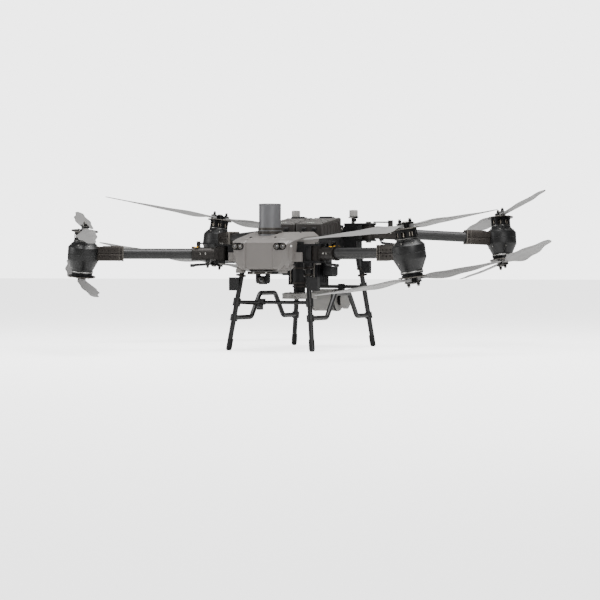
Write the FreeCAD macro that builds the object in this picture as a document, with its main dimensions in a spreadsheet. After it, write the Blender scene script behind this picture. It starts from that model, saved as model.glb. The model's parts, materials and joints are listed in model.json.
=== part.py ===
import FreeCAD, Part
import math
import os
import Sketcher

# Heavy-lift folding drone: four arms, each with an upper and a lower rotor.
# Frame: +X is the drone's own left, -Y is the nose, +Z is up and Z = 0 is the ground.

Vector = FreeCAD.Vector
X_DIR, Y_DIR, Z_DIR = Vector(1, 0, 0), Vector(0, 1, 0), Vector(0, 0, 1)
doc = FreeCAD.newDocument("cargo_drone")

SIZES = (
    # airframe tray
    ("frame_half_width", 125, "half width of the tray"),
    ("frame_front", 392, "tray nose end ahead of the origin"),
    ("frame_rear", 402, "tray tail end behind the origin"),
    ("frame_bottom", 455, "underside above ground"),
    ("frame_height", 105, "tray height"),
    ("frame_wall", 6, "tray wall"),
    ("corner_slope_width", 20, "width planed off each front top corner under the cowl"),
    ("corner_slope_drop", 6, "depth of that cut at the side"),
    ("corner_slope_length", 26, "length of that cut"),
    ("frame_pocket_length", 150, "lightening pocket, along the tray"),
    # arm hinges and pods
    ("hinge_front_x", 259, "front hinge pin from the middle"),
    ("hinge_front_y", 352, "front hinge pin ahead of the origin"),
    ("hinge_front_z", 478, "front hinge above ground"),
    ("hinge_rear_x", 245, "rear hinge pin from the middle"),
    ("hinge_rear_y", 334, "rear hinge pin behind the origin"),
    ("hinge_rear_z", 592, "rear hinge above ground"),
    ("pod_front_x", 857, "front rotor axis from the middle"),
    ("pod_front_y", 680, "front rotor axis ahead of the origin"),
    ("pod_front_z", 478, "front pod centre above ground"),
    ("pod_rear_x", 825, "rear rotor axis from the middle"),
    ("pod_rear_y", 748, "rear rotor axis behind the origin"),
    ("pod_rear_z", 559, "rear pod centre above ground"),
    ("lean_front_in", 0.120, "front rotor axis, inward lean per unit of height"),
    ("lean_front_on", 0.079, "front rotor axis, forward lean per unit of height"),
    ("lean_rear_in", 0.092, "rear rotor axis, inward lean per unit of height"),
    ("lean_rear_on", 0.113, "rear rotor axis, backward lean per unit of height"),
    # hinge
    ("eye_radius", 34, "knuckle eye"),
    ("eye_half_height", 36, "knuckle eye, half height"),
    ("lug_gap", 0.5, "gap between eye and lug"),
    ("lug_thickness", 10, "hinge lug"),
    ("lug_radius", 40, "hinge lug end"),
    ("pin_radius", 9, "hinge pin"),
    ("pin_head_radius", 14, "hinge pin head"),
    ("pin_head_height", 8, "hinge pin head"),
    ("pin_fit", 0.06, "running clearance on the radius"),
    ("web_reach", 52, "lug web stands this far in from the pin"),
    # arm
    ("tube_radius", 26, "arm tube"),
    ("tube_wall", 2.5, "arm tube wall"),
    ("tube_start", 96, "tube end from the hinge pin"),
    ("sleeve_radius", 33, "socket on the knuckle"),
    ("sleeve_start", 40, "socket from the hinge pin"),
    ("sleeve_end", 150, "socket end from the hinge pin"),
    # latch
    ("latch_length", 88, "lever from its pin to its nose"),
    ("latch_width", 25, "lever"),
    ("latch_thickness", 7, "lever"),
    ("latch_pin_radius", 3, "lever pin"),
    ("latch_pin_at", 116, "lever pin from the hinge pin"),
    ("latch_lift", 1.5, "lever above the lug"),
    ("cheek_thickness", 6, "latch cheeks"),
    # motor pod
    ("pod_radius", 77, "barrel"),
    ("pod_neck_radius", 52, "barrel ends"),
    ("pod_top", 63, "top of the barrel above its middle"),
    ("pod_upper_edge", 31, "upper shoulder above the middle"),
    ("pod_lower_edge", 30, "lower shoulder below the middle"),
    ("pod_taper_end", 81, "end of the lower taper"),
    ("pod_bottom", 98, "bottom ring below the middle"),
    ("clamp_length", 120, "arm clamp beyond the barrel"),
    ("clamp_height", 71, "arm clamp"),
    ("clamp_width", 64, "arm clamp"),
    ("clamp_lip", 7, "raised lip at the clamp mouth"),
    # rotor
    ("plate_offset", 112, "blade plate from the pod middle"),
    ("plate_radius", 65.5, "blade plate"),
    ("plate_thickness", 5, "blade plate"),
    ("bell_radius", 50, "motor bell"),
    ("bell_wall", 4, "motor bell"),
    ("bell_gap", 2, "bell above the barrel"),
    ("bell_windows", 8, "cooling windows in the bell"),
    ("shaft_radius", 8, "motor shaft"),
    ("shaft_depth", 40, "shaft in the pod"),
    ("hub_height", 24, "hub above the blade plate"),
    ("boss_radius", 17, "hub boss"),
    ("strap_radius", 18, "hub strap ends"),
    ("strap_thickness", 5, "hub strap"),
    ("pivot_offset", 36, "blade pivot from the rotor axis"),
    ("bolt_radius", 5, "pivot bolt"),
    ("bolt_head_radius", 8.5, "pivot bolt head"),
    ("bolt_head_height", 13, "pivot bolt head"),
    # blades
    ("rotor_radius", 686, "blade tip from the rotor axis"),
    ("blade_eye_radius", 16.5, "blade root eye"),
    ("blade_gap", 0.3, "blade root eye to hub"),
    ("blade_fit", 0.06, "blade on its pivot bolt"),
    ("blade_chord", 98, "widest chord"),
    ("blade_rise", 10, "tip above the root"),
    # nose
    ("nose_front", 471, "nose face ahead of the origin"),
    ("nose_rear", 110, "rear edge of the nose ahead of the origin"),
    ("nose_wall", 4, "nose moulding"),
    ("can_y", 347, "parachute can ahead of the origin"),
    ("can_radius", 54, "parachute can"),
    ("can_base_radius", 58, "parachute can base"),
    ("can_base_height", 46, "parachute can base"),
    ("can_height", 162, "parachute can with its base"),
    ("fit_gap", 0.5, "gap around parts that lift out or pass through a skin"),
    # chin and camera
    ("chin_width", 138, "chin plate"),
    ("chin_length", 62, "chin plate"),
    ("chin_thickness", 14, "chin plate"),
    ("chin_bottom", 377, "chin plate above ground"),
    ("camera_y", 428, "camera ahead of the origin"),
    ("camera_z", 349, "camera above ground"),
    ("camera_radius", 21, "camera barrel"),
    ("camera_width", 38, "camera barrel"),
    ("yoke_thickness", 12, "gimbal yoke arms"),
    ("yoke_radius", 17, "gimbal yoke ends"),
    ("trunnion_radius", 6, "camera trunnions"),
    # batteries
    ("battery_width", 147, "battery"),
    ("battery_split", 3, "half gap between the batteries"),
    ("battery_front", 45, "battery front ahead of the origin"),
    ("battery_rear", 200, "battery rear behind the origin"),
    ("battery_front_height", 70, "battery, at its front"),
    ("battery_rear_height", 104, "battery, at its rear"),
    # rear housing and antennas
    ("housing_half_width", 108, "rear housing"),
    ("housing_front", 206, "rear housing front behind the origin"),
    ("housing_length", 150, "rear housing"),
    ("housing_height", 70, "rear housing"),
    ("antenna_x", 160, "antenna from the middle"),
    ("antenna_y", 331, "antenna behind the origin"),
    ("antenna_radius", 19.5, "antenna"),
    ("antenna_height", 36, "antenna"),
    ("antenna_top", 706, "antenna top above ground"),
    ("antenna_post_radius", 9, "antenna post"),
    # belly
    ("module_half_width", 80, "power module"),
    ("module_front", 50, "power module front behind the origin"),
    ("module_length", 150, "power module"),
    ("module_bottom", 322, "power module above ground"),
    ("module_fins", 6, "cooling fins"),
    ("module_fin_depth", 8, "cooling fins"),
    ("column_y", 9, "payload column behind the origin"),
    ("column_radius", 30, "payload column"),
    ("disc_radius", 86, "payload disc"),
    ("disc_bottom", 252, "payload disc above ground"),
    ("disc_thickness", 28, "payload disc"),
    ("payload_pcd", 120, "payload bolt circle"),
    ("payload_hole_radius", 3.3, "payload bolt holes"),
    ("payload_hole_depth", 16, "payload bolt holes"),
    ("payload_holes", 4, "payload bolt holes"),
    # landing gear
    ("leg_radius", 12.5, "leg tube"),
    ("foot_x", 227, "foot from the middle"),
    ("foot_front_y", 349, "front foot ahead of the origin"),
    ("foot_rear_y", 450, "rear foot behind the origin"),
    ("leg_front_x", 169, "front leg at the tray, from the middle"),
    ("leg_front_y", 279, "front leg at the tray, ahead of the origin"),
    ("leg_rear_x", 171, "rear leg at the tray, from the middle"),
    ("leg_rear_y", 388, "rear leg at the tray, behind the origin"),
    ("foot_flat_radius", 7, "flat on the end of each foot"),
    ("socket_radius", 19, "leg socket"),
    ("socket_depth", 45, "leg socket"),
    ("bar_front_z", 239, "front crossbar above ground"),
    ("bar_rear_z", 311, "rear crossbar above ground"),
    ("bar_radius", 9, "crossbars"),
    ("saddle_radius", 19, "crossbar saddles on the legs"),
    ("saddle_height", 40, "crossbar saddles on the legs"),
    ("handle_radius", 12, "carry handle tube"),
    ("handle_low_z", 162, "handle ends above ground"),
    ("handle_top_z", 281, "handle grip above ground"),
    ("handle_grip_front", 19, "grip front end ahead of the origin"),
    ("handle_grip_rear", 164, "grip rear end behind the origin"),
    ("handle_slope_run", 104, "run of each slope beside the grip"),
    ("handle_bend_radius", 34, "handle bends"),
    ("link_width", 42, "link antenna"),
    ("link_depth", 32, "link antenna"),
    ("link_height", 66, "link antenna"),
    ("link_front_z", 296, "front link antenna above ground"),
    ("link_rear_z", 380, "rear link antenna above ground"),
    # radar
    ("radar_radius", 57.5, "radar drum"),
    ("radar_left", 90, "drum end from the middle"),
    ("radar_right", 50, "drum end from the middle"),
    ("radar_drop", 70, "drum axis below the rear crossbar"),
    ("radar_neck_radius", 20, "drum neck"),
    ("radar_tail_radius", 46, "drum tail"),
    ("radar_tail_length", 20, "drum tail"),
    ("post_thickness", 26, "radar post"),
    ("post_depth", 34, "radar post"),
)

sheet = doc.addObject("Spreadsheet::Sheet", "Sizes")
for row, (alias, value, meaning) in enumerate(SIZES, 1):
    sheet.set(f"A{row}", alias)
    sheet.set(f"B{row}", str(value))
    sheet.setAlias(f"B{row}", alias)
    sheet.set(f"C{row}", meaning)
doc.recompute()

SUB_PARTS = []


class Size:
    """Reads a driving size from the spreadsheet as a plain number."""

    def __getattr__(self, alias):
        return float(getattr(sheet, alias))


size = Size()


def cell(text):
    """Turns 'a + 2 * b' into an expression on the spreadsheet's cells."""
    words = [f"Sizes.{w}" if w[0].isalpha() else w for w in text.split()]
    return " ".join(words)


def facing(at, z_axis=Z_DIR, x_hint=X_DIR):
    """Placement at a point with its Z along z_axis and its X as near as can be to x_hint."""
    z = Vector(z_axis).normalize()
    x = (Vector(x_hint) - z * z.dot(x_hint)).normalize()
    y = z.cross(x)
    turn = FreeCAD.Rotation(x, y, z, "ZXY")
    return FreeCAD.Placement(Vector(at), turn)


def primitive(kind, label, placement, **bound):
    """A Part primitive whose properties are bound to spreadsheet cells."""
    item = doc.addObject(f"Part::{kind}", label)
    for name, text in bound.items():
        item.setExpression(name, cell(text))
    item.Placement = placement
    return item


def cylinder(label, radius, height, at=(0, 0, 0), axis=Z_DIR):
    hint = X_DIR if abs(Vector(axis).normalize().x) < 0.9 else Y_DIR
    return primitive("Cylinder", label, facing(at, axis, hint), Radius=radius, Height=height)


def box(label, length, width, height, at):
    """A box whose lower corner is at the given point."""
    spot = FreeCAD.Placement(Vector(at), FreeCAD.Rotation())
    return primitive("Box", label, spot, Length=length, Width=width, Height=height)


def fuse(label, items, placement=None):
    joined = doc.addObject("Part::MultiFuse", label)
    joined.Shapes = items
    if placement:
        joined.Placement = placement
    return joined


def cut(label, base, tools, placement=None):
    """base less every tool."""
    tool = tools[0] if len(tools) == 1 else fuse(f"{label}_tools", tools)
    left = doc.addObject("Part::Cut", label)
    left.Base = base
    left.Tool = tool
    if placement:
        left.Placement = placement
    return left


def group(label, items):
    """Several separate solids in one sub-part."""
    together = doc.addObject("Part::Compound", label)
    together.Links = items
    return together


def solid(label, shape, placement=None):
    """A sub-part that Part's own functions shape."""
    item = doc.addObject("Part::Feature", label)
    item.Shape = shape
    if placement:
        item.Placement = placement
    return item


def finished(item, label):
    """Names a sub-part and lists it for export."""
    item.Label = label
    SUB_PARTS.append(item)
    return item


def rounded_path(points, radius):
    """Straight runs joined by tangent arcs."""
    edges, start = [], Vector(points[0])
    for before, corner, after in zip(points, points[1:], points[2:]):
        corner = Vector(corner)
        back = (Vector(before) - corner).normalize()
        ahead = (Vector(after) - corner).normalize()
        half_turn = (math.pi - back.getAngle(ahead)) / 2
        reach = radius * math.tan(half_turn)
        first, last = corner + back * reach, corner + ahead * reach
        middle_way = (back + ahead).normalize()
        middle = corner + middle_way * (radius / math.cos(half_turn) - radius)
        edges.append(Part.LineSegment(start, first).toShape())
        edges.append(Part.Arc(first, middle, last).toShape())
        start = last
    edges.append(Part.LineSegment(start, Vector(points[-1])).toShape())
    return Part.Wire(edges)


def tube_along(points, bend_radius, radius):
    path = rounded_path(points, bend_radius)
    way = Vector(points[1]) - Vector(points[0])
    ring = Part.Wire(Part.makeCircle(radius, Vector(points[0]), way))
    return path.makePipeShell([ring], True, False)


# ---------------------------------------------------------------- arm stations


class Corner:
    """One of the four arm stations, worked out from the driving sizes."""

    def __init__(self, name, side, end):
        self.name, self.side, self.end = name, side, end
        where = "front" if end < 0 else "rear"
        get = lambda word: getattr(size, word.replace("END", where))
        self.hinge = Vector(side * get("hinge_END_x"), end * get("hinge_END_y"), get("hinge_END_z"))
        self.pod = Vector(side * get("pod_END_x"), end * get("pod_END_y"), get("pod_END_z"))
        reach = self.pod - self.hinge
        level = Vector(reach.x, reach.y, 0)
        self.arm_frame = facing(self.hinge, Z_DIR, level)
        self.length = reach.Length
        droop = math.atan2(-reach.z, level.Length)
        self.tube_axis = Vector(math.cos(droop), 0, -math.sin(droop))
        self.up = Vector(-side * get("lean_END_in"), end * get("lean_END_on"), 1).normalize()
        self.outward = level.normalize()


CORNERS = [
    Corner("front_left", 1, -1),
    Corner("front_right", -1, -1),
    Corner("rear_left", 1, 1),
    Corner("rear_right", -1, 1),
]

# ---------------------------------------------------------------- arms


def make_knuckle(corner):
    """Pivot casting at the root of an arm: eye, neck, tube socket and latch cheeks."""
    tag = f"knuckle_{corner.name}"
    along = corner.tube_axis
    eye = cylinder(f"{tag}_eye", "eye_radius", "2 * eye_half_height", (0, 0, -size.eye_half_height))
    neck = box(
        f"{tag}_neck", "sleeve_start + 12", "eye_radius * 1.5", "eye_half_height * 1.6",
        (0, -size.eye_radius * 0.75, -size.eye_half_height * 0.8),
    )
    socket = cylinder(
        f"{tag}_socket", "sleeve_radius", "sleeve_end - sleeve_start", along * size.sleeve_start, along
    )
    lip_at = size.sleeve_end - size.clamp_lip
    lip = cylinder(f"{tag}_lip", "sleeve_radius + 3", "clamp_lip", along * lip_at, along)
    cheeks = []
    lever_middle = latch_height()
    for side in (-1, 1):
        inner = size.latch_width / 2 + size.fit_gap
        y = inner if side > 0 else -inner - size.cheek_thickness
        cheeks.append(
            box(
                f"{tag}_cheek_{side}", "6 * latch_pin_radius", "cheek_thickness",
                "eye_half_height + lug_thickness",
                (size.latch_pin_at - 3 * size.latch_pin_radius, y, lever_middle - size.eye_half_height),
            )
        )
    body = fuse(f"{tag}_body", [eye, neck, socket, lip] + cheeks)
    pin_hole = cylinder(
        f"{tag}_pin_hole", "pin_radius + pin_fit", "3 * eye_half_height", (0, 0, -1.5 * size.eye_half_height)
    )
    tube_hole = cylinder(
        f"{tag}_tube_hole", "tube_radius", "sleeve_end", along * size.tube_start, along
    )
    wide = size.latch_width + 4 * size.cheek_thickness
    lever_hole = cylinder(
        f"{tag}_lever_hole", "latch_pin_radius + pin_fit", "latch_width + 4 * cheek_thickness",
        (size.latch_pin_at, -wide / 2, lever_middle), Y_DIR,
    )
    knuckle = cut(f"{tag}_cut", body, [pin_hole, tube_hole, lever_hole], corner.arm_frame)
    return finished(knuckle, f"arm_knuckle_{corner.name}")


def latch_height():
    """Height of the latch lever's middle above the arm's middle."""
    lug_top = size.eye_half_height + size.lug_gap + size.lug_thickness
    return lug_top + size.latch_lift + size.latch_thickness / 2


def make_latch(corner):
    """Flip-up lever that locks the arm open."""
    tag = f"latch_{corner.name}"
    z = latch_height() - size.latch_thickness / 2
    blade = box(
        f"{tag}_blade", "latch_length", "latch_width", "latch_thickness",
        (size.latch_pin_at - size.latch_length, -size.latch_width / 2, z),
    )
    barrel = cylinder(
        f"{tag}_barrel", "latch_thickness / 2 + 2", "latch_width",
        (size.latch_pin_at, -size.latch_width / 2, latch_height()), Y_DIR,
    )
    reach = size.latch_width / 2 + size.fit_gap + size.cheek_thickness
    pin = cylinder(
        f"{tag}_pin", "latch_pin_radius", "latch_width + 2 * fit_gap + 2 * cheek_thickness",
        (size.latch_pin_at, -reach, latch_height()), Y_DIR,
    )
    lever = fuse(f"{tag}_lever", [blade, barrel, pin], corner.arm_frame)
    return finished(lever, f"latch_lever_{corner.name}")


def make_arm_tube(corner):
    """Carbon tube from the knuckle socket to the pod clamp."""
    tag = f"tube_{corner.name}"
    along = corner.tube_axis
    run = corner.length - size.tube_start - size.pod_radius
    outer = cylinder(f"{tag}_outer", "tube_radius", "tube_start", along * size.tube_start, along)
    inner = cylinder(f"{tag}_inner", "tube_radius - tube_wall", "tube_start", along * size.tube_start, along)
    for part in (outer, inner):
        part.setExpression("Height", None)
        part.Height = run
    tube = cut(f"{tag}_cut", outer, [inner], corner.arm_frame)
    return finished(tube, f"arm_tube_{corner.name}")


def make_pod(corner):
    """Barrel-shaped motor housing with the clamp that grips the arm tube."""
    tag = f"pod_{corner.name}"
    to_local = corner.arm_frame.inverse()
    centre = to_local.multVec(corner.pod)
    up = to_local.Rotation.multVec(corner.up)

    def ring(label, z_low, height, low, high):
        cone = primitive("Cone", label, facing(centre + up * z_low, up), Radius1=low, Radius2=high, Height=height)
        return cone

    upper = ring(f"{tag}_upper", size.pod_upper_edge, "pod_top - pod_upper_edge", "pod_radius", "pod_neck_radius")
    middle = cylinder(
        f"{tag}_middle", "pod_radius", "pod_upper_edge + pod_lower_edge", centre - up * size.pod_lower_edge, up
    )
    lower = ring(
        f"{tag}_lower", -size.pod_taper_end, "pod_taper_end - pod_lower_edge", "pod_neck_radius", "pod_radius"
    )
    collar = cylinder(
        f"{tag}_collar", "pod_neck_radius", "pod_bottom - pod_taper_end", centre - up * size.pod_bottom, up
    )
    along = corner.tube_axis
    mouth = corner.length - size.pod_radius - size.clamp_length
    clamp = primitive(
        "Box", f"{tag}_clamp",
        facing(along * mouth - Y_DIR * size.clamp_width / 2 - along.cross(Y_DIR) * size.clamp_height / 2,
               along.cross(Y_DIR), along),
        Length="clamp_length + pod_radius / 2", Width="clamp_width", Height="clamp_height",
    )
    lip_high = size.clamp_height + 5
    lip_wide = size.clamp_width + 5
    lip = primitive(
        "Box", f"{tag}_lip",
        facing(along * mouth - Y_DIR * lip_wide / 2 - along.cross(Y_DIR) * lip_high / 2,
               along.cross(Y_DIR), along),
        Length="clamp_lip", Width="clamp_width + 5", Height="clamp_height + 5",
    )
    body = fuse(f"{tag}_body", [upper, middle, lower, collar, clamp, lip])
    bore = cylinder(f"{tag}_bore", "tube_radius", "clamp_length", along * mouth, along)
    seat = size.pod_top - size.shaft_depth
    top_hole = cylinder(f"{tag}_top_hole", "shaft_radius + pin_fit", "pod_top", centre + up * seat, up)
    foot = size.pod_bottom - size.shaft_depth
    low_hole = cylinder(f"{tag}_low_hole", "shaft_radius + pin_fit", "pod_bottom", centre - up * foot, up * -1)
    pod = cut(f"{tag}_cut", body, [bore, top_hole, low_hole], corner.arm_frame)
    return finished(pod, f"motor_pod_{corner.name}")


# ---------------------------------------------------------------- rotors

ROTORS = (
    # station, level, azimuth of the blade line at rest in degrees, turns counter-clockwise from above
    ("front_left", "upper", 70, False),
    ("front_left", "lower", 72, True),
    ("front_right", "upper", 123, True),
    ("front_right", "lower", 125, False),
    ("rear_left", "upper", 127, True),
    ("rear_left", "lower", 128, False),
    ("rear_right", "upper", 51, False),
    ("rear_right", "lower", 51, True),
)


def make_rotor(corner, level, azimuth):
    """Motor bell, blade plate, hub strap and pivot bolts that turn as one."""
    tag = f"rotor_{corner.name}_{level}"
    flip = 1 if level == "upper" else -1
    up = corner.up * flip
    across = Vector(math.cos(math.radians(azimuth)), math.sin(math.radians(azimuth)), 0)
    frame = facing(corner.pod, up, across)
    housing = "pod_top" if level == "upper" else "pod_bottom"
    housing_end = getattr(size, housing)
    plate_low = size.plate_offset - size.plate_thickness / 2
    bell_low = housing_end + size.bell_gap
    bell = cylinder(
        f"{tag}_bell", "bell_radius", f"plate_offset - plate_thickness / 2 - {housing} - bell_gap", (0, 0, bell_low)
    )
    plate = cylinder(f"{tag}_plate", "plate_radius", "plate_thickness", (0, 0, plate_low))
    shaft = cylinder(
        f"{tag}_shaft", "shaft_radius", f"plate_offset - {housing} + shaft_depth",
        (0, 0, housing_end - size.shaft_depth),
    )
    top = plate_low + size.plate_thickness
    boss = cylinder(f"{tag}_boss", "boss_radius", "hub_height", (0, 0, top))
    strap_low = top + size.hub_height - size.strap_thickness
    strap = [
        box(
            f"{tag}_strap", "2 * pivot_offset", "2 * strap_radius", "strap_thickness",
            (-size.pivot_offset, -size.strap_radius, strap_low),
        )
    ]
    for side in (-1, 1):
        x = side * size.pivot_offset
        strap.append(cylinder(f"{tag}_end_{side}", "strap_radius", "strap_thickness", (x, 0, strap_low)))
        strap.append(cylinder(f"{tag}_bolt_{side}", "bolt_radius", "hub_height", (x, 0, top)))
        head = primitive(
            "Prism", f"{tag}_head_{side}", facing((x, 0, top + size.hub_height)),
            Circumradius="bolt_head_radius", Height="bolt_head_height",
        )
        head.Polygon = 6
        strap.append(head)
    body = fuse(f"{tag}_body", [bell, plate, shaft, boss] + strap)
    bell_high = plate_low - bell_low
    cuts = [ring_tool(tag, bell_low, bell_high)]
    if level == "upper":
        cuts += window_tools(tag, bell_low, bell_high)
    rotor = cut(f"{tag}_cut", body, cuts, frame)
    finished(rotor, f"rotor_hub_{corner.name}_{level}")
    return frame


def ring_tool(tag, bell_low, bell_high):
    """Hollow inside a bell, round the shaft."""
    hollow = cylinder(f"{tag}_hollow", "bell_radius - bell_wall", "bell_wall", (0, 0, bell_low))
    hollow.setExpression("Height", None)
    hollow.Height = bell_high - size.bell_wall
    core = cylinder(f"{tag}_core", "shaft_radius + 4", "plate_offset", (0, 0, 0))
    ring = doc.addObject("Part::Cut", f"{tag}_ring")
    ring.Base, ring.Tool = hollow, core
    return ring


def window_tools(tag, bell_low, bell_high):
    """Cooling windows round a bell."""
    tools = []
    count = int(size.bell_windows)
    for number in range(count):
        angle = 360 * (number + 0.5) / count
        window = box(
            f"{tag}_window_{number}", "bell_radius + 2", "bell_radius * 0.42", "bell_wall",
            (0, 0, 0),
        )
        window.setExpression("Height", None)
        window.Height = bell_high * 0.5
        turn = FreeCAD.Rotation(Z_DIR, angle)
        corner = Vector(size.shaft_radius + 8, -size.bell_radius * 0.21, bell_low + bell_high * 0.2)
        window.Placement = FreeCAD.Placement(turn.multVec(corner), turn)
        tools.append(window)
    return tools


# ---------------------------------------------------------------- blades


def blade_section(station, chord, thickness, pitch, rise):
    """Closed aerofoil at a distance from the pivot; +Y is the leading edge."""
    profile = ((0.42, 0.0), (0.34, 0.42), (0.05, 0.55), (-0.35, 0.22), (-0.58, -0.06), (-0.3, -0.22), (0.1, -0.42), (0.36, -0.36))
    turn = FreeCAD.Rotation(X_DIR, pitch)
    points = []
    for along, high in profile:
        flat = turn.multVec(Vector(0, along * chord, high * thickness))
        points.append(Vector(station, flat.y, flat.z + rise))
    curve = Part.BSplineCurve()
    curve.interpolate(points, PeriodicFlag=True)
    return Part.Wire(curve.toShape())


def blade_shape():
    """Blade along +X from its pivot, for a rotor that turns counter-clockwise."""
    span = size.rotor_radius - size.pivot_offset
    chord = size.blade_chord
    eye_high = size.hub_height - size.strap_thickness - 2 * size.blade_gap
    stations = (
        # share of the span, share of the widest chord, thickness, pitch
        (0.012, 0.27, 12.5, 4),
        (0.075, 0.40, 12, 11),
        (0.165, 0.82, 11, 19),
        (0.29, 1.00, 9.5, 18),
        (0.47, 0.90, 8, 14),
        (0.70, 0.68, 6, 10.5),
        (0.89, 0.48, 4.5, 8),
        (0.975, 0.33, 3.4, 7),
        (1.0, 0.16, 2.4, 7),
    )
    wires = [
        blade_section(span * share, chord * wide, thick, pitch, size.blade_rise * share**2)
        for share, wide, thick, pitch in stations
    ]
    wing = Part.makeLoft(wires, True, False)
    eye = Part.makeCylinder(size.blade_eye_radius, eye_high, Vector(0, 0, -eye_high / 2))
    bore = Part.makeCylinder(size.bolt_radius + size.blade_fit, 3 * eye_high, Vector(0, 0, -1.5 * eye_high))
    return eye.fuse(wing).cut(bore).removeSplitter()


def make_blades(corner, level, rotor_frame, counter_clockwise, shapes):
    flip = 1 if level == "upper" else -1
    middle = (size.hub_height - size.strap_thickness) / 2
    height = size.plate_offset + size.plate_thickness / 2 + middle
    for letter, side in (("a", 1), ("b", -1)):
        pivot = rotor_frame.multVec(Vector(side * size.pivot_offset, 0, height))
        away = rotor_frame.Rotation.multVec(Vector(side, 0, 0))
        frame = facing(pivot, corner.up, away)
        shape = shapes[counter_clockwise].copy()
        blade = solid(f"blade_shape_{corner.name}_{level}_{letter}", shape, frame)
        finished(blade, f"blade_{corner.name}_{level}_{letter}")


left_handed = blade_shape()
right_handed = left_handed.mirror(Vector(0, 0, 0), Y_DIR)
blade_shapes = {True: left_handed, False: right_handed}
by_name = {corner.name: corner for corner in CORNERS}

for corner in CORNERS:
    make_knuckle(corner)
    make_latch(corner)
    make_arm_tube(corner)
    make_pod(corner)
for station, level, azimuth, counter_clockwise in ROTORS:
    rotor_frame = make_rotor(by_name[station], level, azimuth)
    make_blades(by_name[station], level, rotor_frame, counter_clockwise, blade_shapes)

# ---------------------------------------------------------------- hinge brackets and pins


def make_hinge_bracket(corner):
    """Two lugs on a web that bolts to the side of the tray."""
    tag = f"bracket_{corner.name}"
    hinge = corner.hinge
    pieces = []
    inner = size.frame_half_width
    run = abs(hinge.x) - inner
    lug_low = size.eye_half_height + size.lug_gap
    for level in (-1, 1):
        z = hinge.z + (lug_low if level > 0 else -lug_low - size.lug_thickness)
        x = inner if corner.side > 0 else -abs(hinge.x)
        lug = box(f"{tag}_lug_{level}", "lug_radius", "2 * lug_radius", "lug_thickness",
                  (x, hinge.y - size.lug_radius, z))
        lug.setExpression("Length", None)
        lug.Length = run
        pieces.append(lug)
        pieces.append(cylinder(f"{tag}_end_{level}", "lug_radius", "lug_thickness", (hinge.x, hinge.y, z)))
    web_run = run - size.web_reach
    x = inner if corner.side > 0 else -inner - web_run
    bottom = min(hinge.z - lug_low - size.lug_thickness, size.frame_bottom + size.frame_height - 60)
    web = box(f"{tag}_web", "lug_radius", "2 * lug_radius", "lug_thickness", (x, hinge.y - size.lug_radius, bottom))
    for name, value in (("Length", web_run), ("Height", hinge.z + lug_low - bottom)):
        web.setExpression(name, None)
        setattr(web, name, value)
    pieces.append(web)
    body = fuse(f"{tag}_body", pieces)
    hole = cylinder(
        f"{tag}_hole", "pin_radius", "4 * eye_half_height", (hinge.x, hinge.y, hinge.z - 2 * size.eye_half_height)
    )
    return cut(f"{tag}_cut", body, [hole])


def make_hinge_pin(corner):
    tag = f"pin_{corner.name}"
    hinge = corner.hinge
    stack = size.eye_half_height + size.lug_gap + size.lug_thickness
    shank = cylinder(
        f"{tag}_shank", "pin_radius", "2 * ( eye_half_height + lug_gap + lug_thickness )",
        (hinge.x, hinge.y, hinge.z - stack),
    )
    top = cylinder(f"{tag}_top", "pin_head_radius", "pin_head_height", (hinge.x, hinge.y, hinge.z + stack))
    low = cylinder(
        f"{tag}_low", "pin_head_radius", "pin_head_height",
        (hinge.x, hinge.y, hinge.z - stack - size.pin_head_height),
    )
    return fuse(f"{tag}_body", [shank, top, low])


finished(group("hinge_brackets", [make_hinge_bracket(c) for c in CORNERS]), "arm_hinge_brackets")
finished(group("hinge_pins", [make_hinge_pin(c) for c in CORNERS]), "arm_hinge_pins")

# ---------------------------------------------------------------- landing gear


class Leg:
    """Line of one leg, from its foot on the ground to the tray."""

    def __init__(self, side, end):
        where = "front" if end < 0 else "rear"
        get = lambda word: getattr(size, word.replace("END", where))
        self.name, self.side, self.end = where, side, end
        self.foot = Vector(side * size.foot_x, end * get("foot_END_y"), 0)
        self.top = Vector(side * get("leg_END_x"), end * get("leg_END_y"), size.frame_bottom)
        self.way = (self.top - self.foot).normalize()

    def at(self, height):
        return self.foot + (self.top - self.foot) * (height / self.top.z)


LEGS = [Leg(side, end) for end in (-1, 1) for side in (1, -1)]


def make_leg(leg):
    """Tube with a rounded end that is cut flat where it stands."""
    ball_height = math.sqrt(size.leg_radius**2 - size.foot_flat_radius**2)
    start = leg.at(ball_height)
    end = leg.at(size.frame_bottom - size.leg_radius)
    tube = Part.makeCylinder(size.leg_radius, (end - start).Length, start, leg.way)
    ball = Part.makeSphere(size.leg_radius, start)
    reach = 4 * size.leg_radius
    ground = Part.makeBox(2 * reach, 2 * reach, reach, Vector(start.x - reach, start.y - reach, -reach))
    return solid(f"leg_{leg.name}_{leg.side}", tube.fuse(ball).cut(ground))


for end_name in ("front", "rear"):
    pair = [make_leg(leg) for leg in LEGS if leg.name == end_name]
    finished(group(f"legs_{end_name}", pair), f"{end_name}_legs")


def leg_hole(label, leg, low, high, radius="leg_radius"):
    """Where a leg, or its socket, passes through another piece."""
    hole = cylinder(label, radius, "leg_radius", leg.at(low), leg.way)
    hole.setExpression("Height", None)
    hole.Height = (leg.at(high) - leg.at(low)).Length
    return hole


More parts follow.
